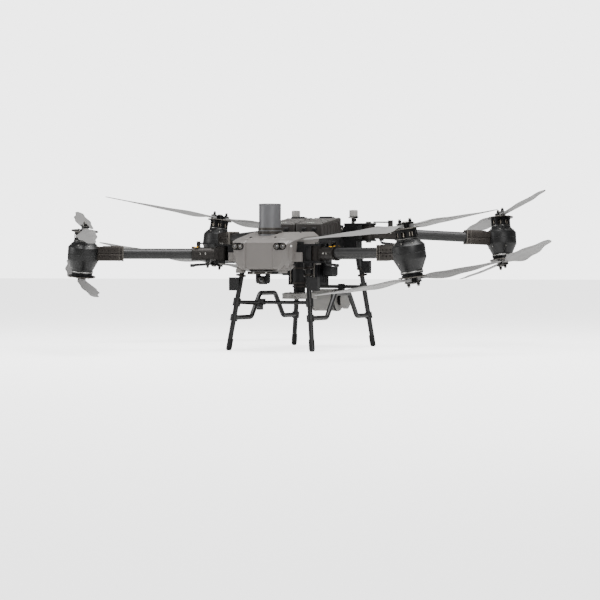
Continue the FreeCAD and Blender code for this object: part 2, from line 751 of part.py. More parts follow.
def make_crossbar(end):
    """Bar between two legs, with a saddle round each leg."""
    legs = [leg for leg in LEGS if leg.end == end]
    height = size.bar_front_z if end < 0 else size.bar_rear_z
    left, right = legs[0].at(height), legs[1].at(height)
    bar = cylinder(f"bar_{end}", "bar_radius", "bar_radius", right, X_DIR)
    bar.setExpression("Height", None)
    bar.Height = (left - right).Length
    pieces, holes = [bar], []
    for number, leg in enumerate(legs):
        foot = leg.at(height) - leg.way * size.saddle_height / 2
        pieces.append(cylinder(f"saddle_{end}_{number}", "saddle_radius", "saddle_height", foot, leg.way))
        holes.append(leg_hole(f"saddle_hole_{end}_{number}", leg, height - 60, height + 60))
    return cut(f"crossbar_{end}", fuse(f"crossbar_body_{end}", pieces), holes)


finished(group("crossbar_pair", [make_crossbar(-1), make_crossbar(1)]), "leg_crossbars")


def make_handle(side):
    """Carry handle: a tube with a raised grip between a front and a rear leg."""
    front, rear = [leg for leg in LEGS if leg.side == side]
    low, high = size.handle_low_z, size.handle_top_z
    start, end = front.at(low), rear.at(low)
    x = (start.x + end.x) / 2
    grip_front, grip_rear, run = -size.handle_grip_front, size.handle_grip_rear, size.handle_slope_run
    points = [
        (x, start.y, low),
        (x, grip_front - run, low),
        (x, grip_front, high),
        (x, grip_rear, high),
        (x, grip_rear + run, low),
        (x, end.y, low),
    ]
    tube = tube_along(points, size.handle_bend_radius, size.handle_radius)
    for leg in (front, rear):
        saddle = Part.makeCylinder(size.saddle_radius, size.saddle_height * 0.8,
                                   leg.at(low) - leg.way * size.saddle_height * 0.4, leg.way)
        tube = tube.fuse(saddle)
    for leg in (front, rear):
        clear = 2 * size.saddle_height
        tube = tube.cut(Part.makeCylinder(size.leg_radius, 2 * clear, leg.at(low) - leg.way * clear, leg.way))
    return solid(f"handle_{side}", tube.removeSplitter())


finished(group("handle_pair", [make_handle(1), make_handle(-1)]), "carry_handles")


def make_link_antenna(leg):
    """Flat block antenna strapped to the outside of a leg."""
    bottom = size.link_front_z if leg.end < 0 else size.link_rear_z
    middle = leg.at(bottom + size.link_height / 2)
    x = middle.x if leg.side > 0 else middle.x - size.link_width - size.leg_radius
    block = box(
        f"link_{leg.name}_{leg.side}_block", "link_width + leg_radius", "link_depth", "link_height",
        (x, middle.y - size.link_depth / 2, bottom),
    )
    radius = "leg_radius" if leg.end < 0 else "socket_radius"
    hole = leg_hole(f"link_{leg.name}_{leg.side}_hole", leg, bottom - 30, bottom + size.link_height + 30, radius)
    return cut(f"link_{leg.name}_{leg.side}", block, [hole])


finished(group("link_set", [make_link_antenna(leg) for leg in LEGS]), "link_antennas")

# ---------------------------------------------------------------- tray


def make_corner_slope(side):
    """What is planed off a front top corner of the tray, so that it clears the cowl's skin."""
    top = size.frame_bottom + size.frame_height + 1
    inner, outer = size.frame_half_width - size.corner_slope_width, size.frame_half_width + 1
    low = top - 1 - size.corner_slope_drop
    points = [Vector(side * x, -size.frame_front - 1, z) for x, z in ((inner, top), (outer, top), (outer, low))]
    wedge = Part.Face(Part.makePolygon(points + [points[0]])).extrude(Vector(0, size.corner_slope_length + 1, 0))
    return solid(f"corner_slope_{side}", wedge)


def make_tray():
    """Carbon tray that everything bolts to, with a socket for each leg."""
    length = "frame_front + frame_rear"
    outer = box("tray_outer", "2 * frame_half_width", length, "frame_height",
                (-size.frame_half_width, -size.frame_front, size.frame_bottom))
    inner = box(
        "tray_inner", "2 * frame_half_width - 2 * frame_wall", f"{length} - 2 * frame_wall",
        "frame_height - 2 * frame_wall",
        (size.frame_wall - size.frame_half_width, size.frame_wall - size.frame_front,
         size.frame_bottom + size.frame_wall),
    )
    pieces, holes = [outer], [inner]
    for number, leg in enumerate(LEGS):
        high = leg.at(size.frame_bottom)
        foot = high - leg.way * size.socket_depth
        pieces.append(cylinder(f"socket_{number}", "socket_radius", "socket_depth", foot, leg.way))
        x = min(high.x, 0) - (size.socket_radius if high.x < 0 else 0)
        beam = box(f"beam_{number}", "leg_radius", "2 * socket_radius", "socket_radius",
                   (x, high.y - size.socket_radius, size.frame_bottom - 2))
        beam.setExpression("Length", None)
        beam.Length = abs(high.x) + size.socket_radius
        pieces.append(beam)
        top = size.frame_bottom - size.leg_radius
        holes.append(leg_hole(f"socket_hole_{number}", leg, size.frame_bottom - 3 * size.socket_depth, top))
    for side in (-1, 1):
        for end in (-1, 1):
            y = end * (size.frame_pocket_length * 0.6) - size.frame_pocket_length / 2
            pocket = box(
                f"pocket_{side}_{end}", "4 * frame_wall", "frame_pocket_length", "frame_height / 2",
                (side * size.frame_half_width - 2 * size.frame_wall, y, size.frame_bottom + size.frame_height / 4),
            )
            holes.append(pocket)
        holes.append(make_corner_slope(side))
    return cut("tray", fuse("tray_body", pieces), holes)


finished(make_tray(), "center_frame")

# ---------------------------------------------------------------- nose


def nose_outline(y, inset, top, top_half, side_top, side_half, side_low, low_half, bottom, bottom_half):
    """Closed symmetric outline across the nose at one station."""
    half = (
        (top_half - inset * 0.7, top - inset),
        (side_half - inset, side_top - inset * 0.3),
        (low_half - inset, side_low + inset * 0.3),
        (bottom_half - inset * 0.7, bottom + inset),
    )
    points = [Vector(x, y, z) for x, z in half] + [Vector(-x, y, z) for x, z in reversed(half)]
    return Part.makePolygon(points + [points[0]])


def nose_loft(inset, open_drop):
    """Solid inside the nose skin, pushed in by inset; open_drop lowers the floor behind the chin."""
    front, rear = size.nose_front, size.nose_rear
    depth = front - rear
    stations = (
        # share of the depth, top, half width, side top, half width, side low, half width, bottom, half width, open
        (0.0, 530, 112, 516, 140, 436, 122, 404, 100, 0),
        (0.11, 556, 96, 538, 162, 446, 152, 392, 128, 0),
        (0.30, 578, 100, 552, 172, 452, 164, 400, 128, 0.2),
        (0.46, 584, 110, 560, 168, 500, 168, 470, 150, 1),
        (1.0, 588, 132, 568, 158, 544, 158, 538, 152, 1),
    )
    outlines = []
    for share, top, top_half, side_top, side_half, side_low, low_half, bottom, bottom_half, is_open in stations:
        y = -front + depth * share
        if inset and share == 0.0:
            y += inset
        if inset and share == 1.0:
            y += 10
        floor = bottom - open_drop * is_open
        outlines.append(
            nose_outline(y, inset, top, top_half, side_top, side_half, side_low, low_half, floor, bottom_half)
        )
    return Part.makeLoft(outlines, True, True)


def make_nose():
    """Thin moulded nose cowl, open at the rear and underneath behind the chin."""
    skin = nose_loft(0, 0)
    tabs = []
    for side in (-1, 1):
        x = side * 110
        tabs.append(Part.makeBox(30, 26, 26, Vector(x - 15, -size.nose_front + 22, 384)))
        low = 150 if side > 0 else -196
        tabs.append(Part.makeBox(46, 92, 46, Vector(low, -size.nose_front + 62, 438)))
    for tab in tabs:
        skin = skin.fuse(tab)
    hollow = nose_loft(size.nose_wall, 60)
    skin = skin.cut(hollow)
    hole = Part.makeCylinder(size.can_base_radius + size.fit_gap, 200, Vector(0, -size.can_y, 500))
    skin = skin.cut(hole)
    for corner in CORNERS[:2]:
        reach = size.lug_radius + size.fit_gap
        low = 0 if corner.side > 0 else -400
        high = 2 * (size.eye_half_height + size.lug_thickness + size.pin_head_height + 4)
        gap = Part.makeBox(400, 2 * reach, high, Vector(low, corner.hinge.y - reach, corner.hinge.z - high / 2))
        skin = skin.cut(gap)
    return solid("nose", skin)


finished(make_nose(), "nose_cowl")


def make_parachute():
    """Round canister that stands on the tray and comes up through the cowl."""
    base_z = size.frame_bottom + size.frame_height
    at = (0, -size.can_y, base_z)
    base = cylinder("can_base", "can_base_radius", "can_base_height", at)
    can = cylinder("can_body", "can_radius", "can_height", at)
    return fuse("can", [base, can])


finished(make_parachute(), "parachute_canister")

# ---------------------------------------------------------------- chin plate and camera


def make_chin_plate():
    """Black plate under the nose that carries the camera yoke."""
    y = -size.camera_y - size.chin_length / 2
    plate = box("chin", "chin_width", "chin_length", "chin_thickness", (-size.chin_width / 2, y, size.chin_bottom))
    pieces, holes = [plate], []
    inner = size.camera_width / 2 + size.fit_gap
    for side in (-1, 1):
        x = inner if side > 0 else -inner - size.yoke_thickness
        arm = box(f"yoke_{side}", "yoke_thickness", "2 * yoke_radius", "chin_bottom - camera_z",
                  (x, -size.camera_y - size.yoke_radius, size.camera_z))
        end = cylinder(f"yoke_end_{side}", "yoke_radius", "yoke_thickness", (x, -size.camera_y, size.camera_z), X_DIR)
        pieces += [arm, end]
        hole = cylinder(f"yoke_hole_{side}", "trunnion_radius + pin_fit", "yoke_thickness",
                        (x, -size.camera_y, size.camera_z), X_DIR)
        holes.append(hole)
    return cut("chin_cut", fuse("chin_body", pieces), holes)


def make_camera():
    """Camera head that tilts in the yoke."""
    half = size.camera_width / 2
    barrel = cylinder("camera_barrel", "camera_radius", "camera_width", (-half, -size.camera_y, size.camera_z), X_DIR)
    reach = half + size.fit_gap + size.yoke_thickness
    trunnion = cylinder(
        "camera_trunnion", "trunnion_radius", "camera_width + 2 * fit_gap + 2 * yoke_thickness",
        (-reach, -size.camera_y, size.camera_z), X_DIR,
    )
    lens = cylinder("camera_lens", "camera_radius * 0.55", "camera_radius + 4",
                    (0, -size.camera_y, size.camera_z), Y_DIR * -1)
    return fuse("camera", [barrel, trunnion, lens])


finished(make_chin_plate(), "chin_plate")
finished(make_camera(), "camera_head")

# ---------------------------------------------------------------- batteries and rear housing


def make_battery(side):
    """Battery block with a top that rises to the rear, padded from a sketch of its side."""
    name = "left" if side > 0 else "right"
    body = doc.addObject("PartDesign::Body", f"battery_body_{name}")
    plane = next(f for f in body.Origin.OriginFeatures if f.Role == "YZ_Plane")
    sketch = body.newObject("Sketcher::SketchObject", f"battery_side_{name}")
    sketch.AttachmentSupport = (plane, [""])
    sketch.MapMode = "FlatFace"
    corners = [
        Vector(-size.battery_front, 0, 0),
        Vector(size.battery_rear, 0, 0),
        Vector(size.battery_rear, size.battery_rear_height, 0),
        Vector(-size.battery_front, size.battery_front_height, 0),
    ]
    for first, last in zip(corners, corners[1:] + corners[:1]):
        sketch.addGeometry(Part.LineSegment(first, last), False)
    for number in range(4):
        sketch.addConstraint(Sketcher.Constraint("Coincident", number, 2, (number + 1) % 4, 1))
    sketch.addConstraint(Sketcher.Constraint("Horizontal", 0))
    sketch.addConstraint(Sketcher.Constraint("Vertical", 1))
    sketch.addConstraint(Sketcher.Constraint("Vertical", 3))
    sketch.addConstraint(Sketcher.Constraint("PointOnObject", 0, 1, -1))
    named = (
        ("front", Sketcher.Constraint("DistanceX", 0, 1, -1, 1, size.battery_front), "battery_front"),
        ("rear", Sketcher.Constraint("DistanceX", -1, 1, 0, 2, size.battery_rear), "battery_rear"),
        ("rear_high", Sketcher.Constraint("DistanceY", 1, 1, 1, 2, size.battery_rear_height), "battery_rear_height"),
        ("front_high", Sketcher.Constraint("DistanceY", 3, 2, 3, 1, size.battery_front_height), "battery_front_height"),
    )
    for label, constraint, alias in named:
        index = sketch.addConstraint(constraint)
        sketch.renameConstraint(index, label)
        sketch.setExpression(f"Constraints.{label}", cell(alias))
    pad = body.newObject("PartDesign::Pad", f"battery_pad_{name}")
    pad.Profile = sketch
    pad.setExpression("Length", cell("battery_width"))
    x = size.battery_split if side > 0 else -size.battery_split - size.battery_width
    body.Placement = FreeCAD.Placement(
        Vector(x, 0, size.frame_bottom + size.frame_height + size.fit_gap), FreeCAD.Rotation()
    )
    return finished(body, f"battery_{name}")


make_battery(1)
make_battery(-1)

top_of_tray = size.frame_bottom + size.frame_height
housing = box("housing", "2 * housing_half_width", "housing_length", "housing_height",
              (-size.housing_half_width, size.housing_front, top_of_tray))
finished(housing, "rear_housing")


def make_antenna(side):
    """Round satellite antenna on a post."""
    low = size.antenna_top - size.antenna_height
    top = cylinder(f"antenna_{side}", "antenna_radius", "antenna_height", (side * size.antenna_x, size.antenna_y, low))
    web_top = size.hinge_rear_z + size.eye_half_height + size.lug_gap + size.lug_thickness
    flange = cylinder(f"flange_{side}", "antenna_radius + 5", "lug_thickness / 2",
                      (side * size.antenna_x, size.antenna_y, low - size.lug_thickness / 2))
    post = cylinder(f"post_{side}", "antenna_post_radius", "antenna_height",
                    (side * size.antenna_x, size.antenna_y, web_top))
    post.setExpression("Height", None)
    post.Height = low - web_top
    return fuse(f"antenna_set_{side}", [top, flange, post])


finished(group("antenna_pair", [make_antenna(1), make_antenna(-1)]), "satellite_antennas")

# ---------------------------------------------------------------- belly


def make_power_module():
    """Finned power electronics box under the tray."""
    box_high = size.frame_bottom - size.module_bottom
    outer = box("module_outer", "2 * module_half_width", "module_length", "frame_bottom - module_bottom",
                (-size.module_half_width, size.module_front, size.module_bottom))
    slots = []
    count = int(size.module_fins)
    pitch = size.module_length / (count + 0.5)
    for side in (-1, 1):
        for number in range(count):
            x = side * size.module_half_width - size.module_fin_depth
            slot = box(f"slot_{side}_{number}", "2 * module_fin_depth", "module_fin_depth", "module_fin_depth",
                       (x, size.module_front + pitch * (number + 0.5), size.module_bottom + 12))
            slot.setExpression("Height", None)
            slot.Height = box_high - 24
            slots.append(slot)
    return cut("module", outer, slots)


finished(make_power_module(), "power_module")


def make_payload_mount():
    """Column under the tray that ends in a round plate with a bolt circle."""
    centre = Vector(0, size.column_y, 0)
    disc = cylinder("disc", "disc_radius", "disc_thickness", (0, size.column_y, size.disc_bottom))
    column = cylinder("column", "column_radius", "frame_bottom - disc_bottom", (0, size.column_y, size.disc_bottom))
    holes = []
    count = int(size.payload_holes)
    for number in range(count):
        angle = math.radians(360 * (number + 0.5) / count)
        spot = centre + Vector(math.cos(angle), math.sin(angle), 0) * (size.payload_pcd / 2)
        holes.append(cylinder(f"bolt_hole_{number}", "payload_hole_radius", "payload_hole_depth",
                              (spot.x, spot.y, size.disc_bottom)))
    return cut("payload_cut", fuse("payload_body", [disc, column]), holes)


finished(make_payload_mount(), "payload_mount")

# ---------------------------------------------------------------- radar

bar = LEGS[2].at(size.bar_rear_z)
radar_z = size.bar_rear_z - size.radar_drop


def make_radar():
    """Drum radar with a narrow neck and a tail, across the drone."""
    drum = cylinder("drum", "radar_radius", "radar_left + radar_right", (-size.radar_left, bar.y, radar_z), X_DIR)
    neck = cylinder("neck", "radar_neck_radius", "post_thickness", (size.radar_right, bar.y, radar_z), X_DIR)
    tail = cylinder("tail", "radar_tail_radius", "radar_tail_length",
                    (size.radar_right + size.post_thickness, bar.y, radar_z), X_DIR)
    return fuse("radar", [drum, neck, tail])


def make_radar_post():
    """Post that hangs the radar from the rear crossbar."""
    post = box("radar_post_bar", "post_thickness", "post_depth", "radar_drop + bar_radius + 6",
               (size.radar_right, bar.y - size.post_depth / 2, radar_z))
    ring = cylinder("radar_ring", "post_depth / 2 + 10", "post_thickness", (size.radar_right, bar.y, radar_z), X_DIR)
    neck_hole = cylinder("neck_hole", "radar_neck_radius", "post_thickness", (size.radar_right, bar.y, radar_z), X_DIR)
    bar_hole = cylinder("bar_hole", "bar_radius", "post_thickness", (size.radar_right, bar.y, size.bar_rear_z), X_DIR)
    return cut("radar_post_cut", fuse("radar_post_body", [post, ring]), [neck_hole, bar_hole])


finished(make_radar(), "radar_drum")
finished(make_radar_post(), "radar_post")

# ---------------------------------------------------------------- export

doc.recompute()
for item in doc.Objects:
    if "Invalid" in item.State or "Error" in item.State:
        raise RuntimeError(f"{item.Label} did not build: {item.State}")
os.makedirs("parts", exist_ok=True)
for item in SUB_PARTS:
    if item.Shape.isNull() or not item.Shape.isValid():
        raise RuntimeError(f"{item.Label} has no valid shape")
    item.Shape.exportStep(f"parts/{item.Label}.step")
    low, high = item.Shape.BoundBox.ZMin, item.Shape.BoundBox.ZMax
    print(f"{item.Label}: {len(item.Shape.Solids)} solids, {item.Shape.Volume / 1000:.0f} cm3, z {low:.0f} to {high:.0f}")
print(len(SUB_PARTS), "sub-parts")
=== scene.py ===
import json
import math

import bmesh
import bpy
from mathutils import Matrix, Vector
from mathutils.bvhtree import BVHTree


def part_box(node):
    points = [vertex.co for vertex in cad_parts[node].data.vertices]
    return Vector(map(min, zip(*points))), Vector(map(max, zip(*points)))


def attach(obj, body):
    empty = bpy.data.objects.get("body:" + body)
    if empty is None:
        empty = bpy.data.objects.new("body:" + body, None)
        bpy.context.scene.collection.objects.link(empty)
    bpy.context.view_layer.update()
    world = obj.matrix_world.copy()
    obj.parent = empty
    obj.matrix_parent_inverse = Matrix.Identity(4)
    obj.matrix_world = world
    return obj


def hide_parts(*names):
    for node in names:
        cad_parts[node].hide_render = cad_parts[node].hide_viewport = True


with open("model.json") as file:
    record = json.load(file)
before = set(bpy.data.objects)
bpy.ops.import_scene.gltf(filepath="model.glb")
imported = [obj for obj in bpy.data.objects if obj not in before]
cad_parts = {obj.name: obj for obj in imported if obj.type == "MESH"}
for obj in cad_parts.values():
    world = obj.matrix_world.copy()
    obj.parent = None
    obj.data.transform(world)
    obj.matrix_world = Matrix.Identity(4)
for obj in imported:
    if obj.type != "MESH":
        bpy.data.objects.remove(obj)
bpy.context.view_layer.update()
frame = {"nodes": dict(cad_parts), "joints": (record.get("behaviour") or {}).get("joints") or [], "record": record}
joint_of = {joint["name"]: joint for joint in frame["joints"]}
MM = 0.001

# ---------------------------------------------------------------- tray, legs, bars, handles and arm tubes
# The airframe is a deep tray of woven carbon over foam, and the arms, legs and crossbars are
# roll-wrapped carbon tube. All of it is cured under film, so it is matt with a faint diagonal
# weave. The legs are glued into sockets under the tray, the bars are held by clamped saddles.


def linear(hex_colour):
    """An sRGB hex colour as the linear colour that shaders take."""
    channels = [int(hex_colour[i:i + 2], 16) / 255 for i in (1, 3, 5)]
    return [c / 12.92 if c <= 0.04045 else ((c + 0.055) / 1.055) ** 2.4 for c in channels] + [1.0]


def add(material, kind, inputs=None, **settings):
    """Adds one shader node with its settings, its values and its links."""
    node = material.node_tree.nodes.new(f"ShaderNode{kind}")
    for name, value in settings.items():
        setattr(node, name, value)
    for socket, value in (inputs or {}).items():
        if isinstance(value, bpy.types.NodeSocket):
            material.node_tree.links.new(value, node.inputs[socket])
        else:
            node.inputs[socket].default_value = value
    return node


def new_finish(name, **sockets):
    """A material with the given values on its shader's own sockets, its shader and its place node."""
    material = bpy.data.materials.new(name)
    material.use_nodes = True
    shader = material.node_tree.nodes["Principled BSDF"]
    for socket, value in sockets.items():
        shader.inputs[socket.replace("_", " ")].default_value = value
    place = add(material, "TexCoord").outputs["Object"]
    return material, shader, place


def feed(material, shader, **sources):
    """Links the outputs given to the shader's sockets."""
    for socket, source in sources.items():
        material.node_tree.links.new(source, shader.inputs[socket.replace("_", " ")])


def cycles_per_metre(size_in_mm):
    """Scale of a texture whose features are this wide."""
    return 1000 / size_in_mm


def woven_carbon(name, dark, light, tow):
    """Cured carbon twill: matt black resin over bright and dull diagonal tows.

    Real tows are about 2 mm wide; they are drawn wider, so that the weave shows."""
    material, shader, place = new_finish(name, IOR=1.5, Coat_Weight=0.12, Coat_Roughness=0.35)
    scale = cycles_per_metre(tow) / 12
    warp = add(material, "TexWave", {"Vector": place, "Scale": scale, "Distortion": 0.0},
               wave_type="BANDS", bands_direction="DIAGONAL")
    turned = add(material, "Mapping", {"Vector": place, "Rotation": (0, 0, math.radians(90))})
    weft = add(material, "TexWave", {"Vector": turned.outputs[0], "Scale": scale, "Distortion": 0.0},
               wave_type="BANDS", bands_direction="DIAGONAL")
    weave = add(material, "Math", {0: warp.outputs["Fac"], 1: weft.outputs["Fac"]}, operation="MULTIPLY")
    scuffs = add(material, "TexNoise", {"Vector": place, "Scale": cycles_per_metre(35), "Detail": 6.0})
    shade = add(material, "Mix", {0: weave.outputs[0], 6: linear(dark), 7: linear(light)}, data_type="RGBA")
    dull = add(material, "MapRange", {"Value": scuffs.outputs["Fac"], "To Min": 0.36, "To Max": 0.58})
    relief = add(material, "Bump", {"Height": weave.outputs[0], "Strength": 0.25, "Distance": 0.0004})
    feed(material, shader, Base_Color=shade.outputs[2], Roughness=dull.outputs[0], Normal=relief.outputs[0])
    return material


def dress(material, *nodes):
    """Gives CAD nodes their finish."""
    for node in nodes:
        mesh = frame["nodes"][node].data
        mesh.materials.clear()
        mesh.materials.append(material)


CORNERS = ("front_left", "front_right", "rear_left", "rear_right")
tube_carbon = woven_carbon("roll wrapped carbon tube", "#050506", "#0d0d0e", 9)
tray_carbon = woven_carbon("woven carbon tray skin", "#050506", "#0e0e0f", 12)
dress(tube_carbon, "front_legs", "rear_legs", "leg_crossbars", *[f"arm_tube_{c}" for c in CORNERS])
dress(tray_carbon, "center_frame")

# ---------------------------------------------------------------- leg feet and sockets
# Each leg ends in a pressed-on rubber foot with a rounded toe, and its socket under the tray is
# closed by a split aluminium collar with one screw.


def moulded(name, colour, roughness=0.5, grain=1.2, depth=0.1, patch=0.06, coat=0.0):
    """A moulded polymer: even colour with faint flow patches and a fine spark-eroded grain."""
    material, shader, place = new_finish(name, IOR=1.5, Coat_Weight=coat)
    clouds = add(material, "TexNoise", {"Vector": place, "Scale": cycles_per_metre(70), "Detail": 4.0})
    pits = add(material, "TexNoise", {"Vector": place, "Scale": cycles_per_metre(grain), "Detail": 2.0})
    base = linear(colour)
    low = [channel * (1 - patch) for channel in base[:3]] + [1.0]
    high = [channel * (1 + patch) for channel in base[:3]] + [1.0]
    shade = add(material, "Mix", {0: clouds.outputs["Fac"], 6: low, 7: high}, data_type="RGBA")
    dull = add(material, "MapRange",
               {"Value": clouds.outputs["Fac"], "To Min": roughness - 0.06, "To Max": roughness + 0.08})
    relief = add(material, "Bump", {"Height": pits.outputs["Fac"], "Strength": depth, "Distance": 0.0002})
    feed(material, shader, Base_Color=shade.outputs[2], Roughness=dull.outputs[0], Normal=relief.outputs[0])
    return material


def metal(name, colour, roughness=0.3, streak=1.5, metallic=1.0, along=(1, 1, 18)):
    """A turned or milled metal: fine tool lines that vary its gloss."""
    material, shader, place = new_finish(name, Metallic=metallic)
    shader.inputs["Base Color"].default_value = linear(colour)
    stretched = add(material, "Mapping", {"Vector": place, "Scale": along})
    lines = add(material, "TexNoise",
                {"Vector": stretched.outputs[0], "Scale": cycles_per_metre(streak) / 10, "Detail": 5.0})
    dull = add(material, "MapRange",
               {"Value": lines.outputs["Fac"], "To Min": roughness * 0.8, "To Max": roughness * 1.35})
    relief = add(material, "Bump", {"Height": lines.outputs["Fac"], "Strength": 0.08, "Distance": 0.0002})
    feed(material, shader, Roughness=dull.outputs[0], Normal=relief.outputs[0])
    return material


def turned(profile, steps=64, ring=False):
    """A shape turned on Z from an outline of (radius, height) points in mm."""
    shape = bmesh.new()
    points = [shape.verts.new((radius, 0, height)) for radius, height in profile]
    pairs = list(zip(points, points[1:])) + ([(points[-1], points[0])] if ring else [])
    edges = [shape.edges.new(pair) for pair in pairs]
    bmesh.ops.spin(shape, geom=points + edges, cent=(0, 0, 0), axis=(0, 0, 1), angle=math.tau,
                   steps=steps, use_merge=True)
    bmesh.ops.remove_doubles(shape, verts=shape.verts, dist=0.001)
    return shape


def block(length, width, height, centre=(0, 0, 0), edge=1.5, steps=3):
    """A block with rounded edges."""
    shape = bmesh.new()
    spread = Matrix.Diagonal((length, width, height, 1))
    bmesh.ops.create_cube(shape, size=1, matrix=Matrix.Translation(centre) @ spread)
    bmesh.ops.bevel(shape, geom=list(shape.edges), offset=edge, offset_type="OFFSET", segments=steps,
                    profile=0.5, affect="EDGES", material=-1)
    return shape


def moved(shape, matrix):
    bmesh.ops.transform(shape, matrix=matrix, verts=shape.verts)
    return shape


def joined(*shapes):
    """One shape that holds all of these."""
    whole = bmesh.new()
    for shape in shapes:
        step = bpy.data.meshes.new("step")
        shape.to_mesh(step)
        shape.free()
        whole.from_mesh(step)
        bpy.data.meshes.remove(step)
    return whole


def socket_screw(radius, height):
    """A cap screw head with its hexagon socket, its seat at Z 0."""
    screw = turned([(0, 0), (radius, 0), (radius, height * 0.85), (radius * 0.88, height), (0, height)], 20)
    top = [f for f in screw.faces if f.calc_center_median().z > height * 0.99]
    bmesh.ops.dissolve_faces(screw, faces=top)
    top = [f for f in screw.faces if f.calc_center_median().z > height * 0.99]
    bmesh.ops.inset_region(screw, faces=top, thickness=radius * 0.4)
    bmesh.ops.translate(screw, verts=list({v for f in top for v in f.verts}), vec=(0, 0, -height * 0.5))
    return screw


def facing(at, z_axis=(0, 0, 1), x_hint=(1, 0, 0)):
    """Placement at a point with its Z along z_axis and its X as near as can be to x_hint."""
    z = Vector(z_axis).normalized()
    x = (Vector(x_hint) - z * z.dot(Vector(x_hint))).normalized()
    turn = Matrix((x, z.cross(x), z)).transposed().to_4x4()
    return Matrix.Translation(at) @ turn


def piece(name, shape, place, body, material, crease=32):
    """Finishes a shape modelled in mm: sets it in place, turns its faces out and puts it on its body."""
    moved(shape, Matrix.Scale(MM, 4) @ place)
    bmesh.ops.recalc_face_normals(shape, faces=shape.faces)
    for face in shape.faces:
        face.smooth = True
    for edge in shape.edges:
        edge.smooth = len(edge.link_faces) == 2 and edge.calc_face_angle() < math.radians(crease)
    mesh = bpy.data.meshes.new(name)
    shape.to_mesh(mesh)
    shape.free()
    mesh.materials.append(material)
    item = bpy.data.objects.new(name, mesh)
    bpy.context.scene.collection.objects.link(item)
    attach(item, body)
    return item


foot_rubber = moulded("moulded foot rubber", "#0d0d0e", roughness=0.8, grain=2.5, depth=0.4)
clamp_metal = metal("dark anodised aluminium", "#34302d", roughness=0.4, metallic=0.7)
mounts = {mount["name"]: Vector(mount["pos_m"]) for mount in frame["record"]["mounts"]}
foot_height, socket_low = 62, 405
leg_tops = {"front": (0.169, -0.279, 0.455), "rear": (0.171, 0.388, 0.455)}
for end in ("front", "rear"):
    feet, collars = [], []
    for side_name, side in (("left", 1), ("right", -1)):
        foot = mounts[f"{end}_{side_name}_foot"] / MM
        top = Vector(leg_tops[end]) / MM
        top.x *= side
        way = (top - foot).normalized()
        boot = [(0, 9), (9, 3.5), (12.7, 7), (14.4, 13), (14.6, 20), (14.6, foot_height - 8),
                (14.0, foot_height - 5), (14.6, foot_height - 2), (13.8, foot_height), (0, foot_height)]
        feet.append(moved(turned(boot, 32), facing(foot - way * 2, way)))
        for level in (socket_low, socket_low - 34):
            at = foot + way * ((level - foot.z) / way.z)
            collar = [(12.6, -5), (20.2, -5), (21, -4), (21, 4), (20.2, 5), (12.6, 5)]
            collars.append(moved(turned(collar, 40, ring=True), facing(at, way)))
            ear = joined(block(12, 9, 9, (24, 0, 0), 1.5),
                         moved(socket_screw(3, 3), facing((25, 4.5, 0), (0, 1, 0))))
            collars.append(moved(ear, facing(at, way, (side, 0, 0))))
    piece(f"{end}_leg_feet", joined(*feet), Matrix(), "airframe", foot_rubber)
    piece(f"{end}_leg_collars", joined(*collars), Matrix(), "airframe", clamp_metal)

# ---------------------------------------------------------------- motor pods
# Each pod is a two-piece moulded barrel of glass-filled nylon, screwed together at its shoulder.
# A split clamp of anodised aluminium grips the arm tube with four cap screws, ribs on its top
# stiffen it, and a plain steel ring closes the lower motor's collar.

pod_nylon = moulded("glass filled nylon", "#050506", roughness=0.4, grain=1.5, depth=0.06, patch=0.02)
bright_ring = metal("turned aluminium", "#b4b3b0", roughness=0.28)
screw_steel = metal("zinc plated screws", "#9a9894", roughness=0.35)
# A lighter metal for worn edges; on the knuckle lips, clamp lips and hub plate rims it also paints the highlight
# along the edge.
worn_and_highlit_edge = metal("worn aluminium edge and painted edge highlight", "#6c6863", roughness=0.42, metallic=0.9)
clamp_reach, barrel_radius, clamp_wide, clamp_high = 120, 77, 64, 71
pod_frames, tube_frames, arm_lengths = {}, {}, {}
for corner in CORNERS:
    hinge = Vector(joint_of[f"fold_{corner}"]["pos_m"]) / MM
    centre = Vector(joint_of[f"spin_{corner}_upper"]["pos_m"]) / MM
    up = Vector(joint_of[f"spin_{corner}_upper"]["axis"])
    reach = centre - hinge
    level_way = Vector((reach.x, reach.y, 0)).normalized()
    pod_frames[corner] = facing(centre, up, level_way)
    across = Vector((0, 0, 1)).cross(level_way)
    tube_frames[corner] = facing(hinge, reach.normalized().cross(across), reach)
    arm_lengths[corner] = reach.length

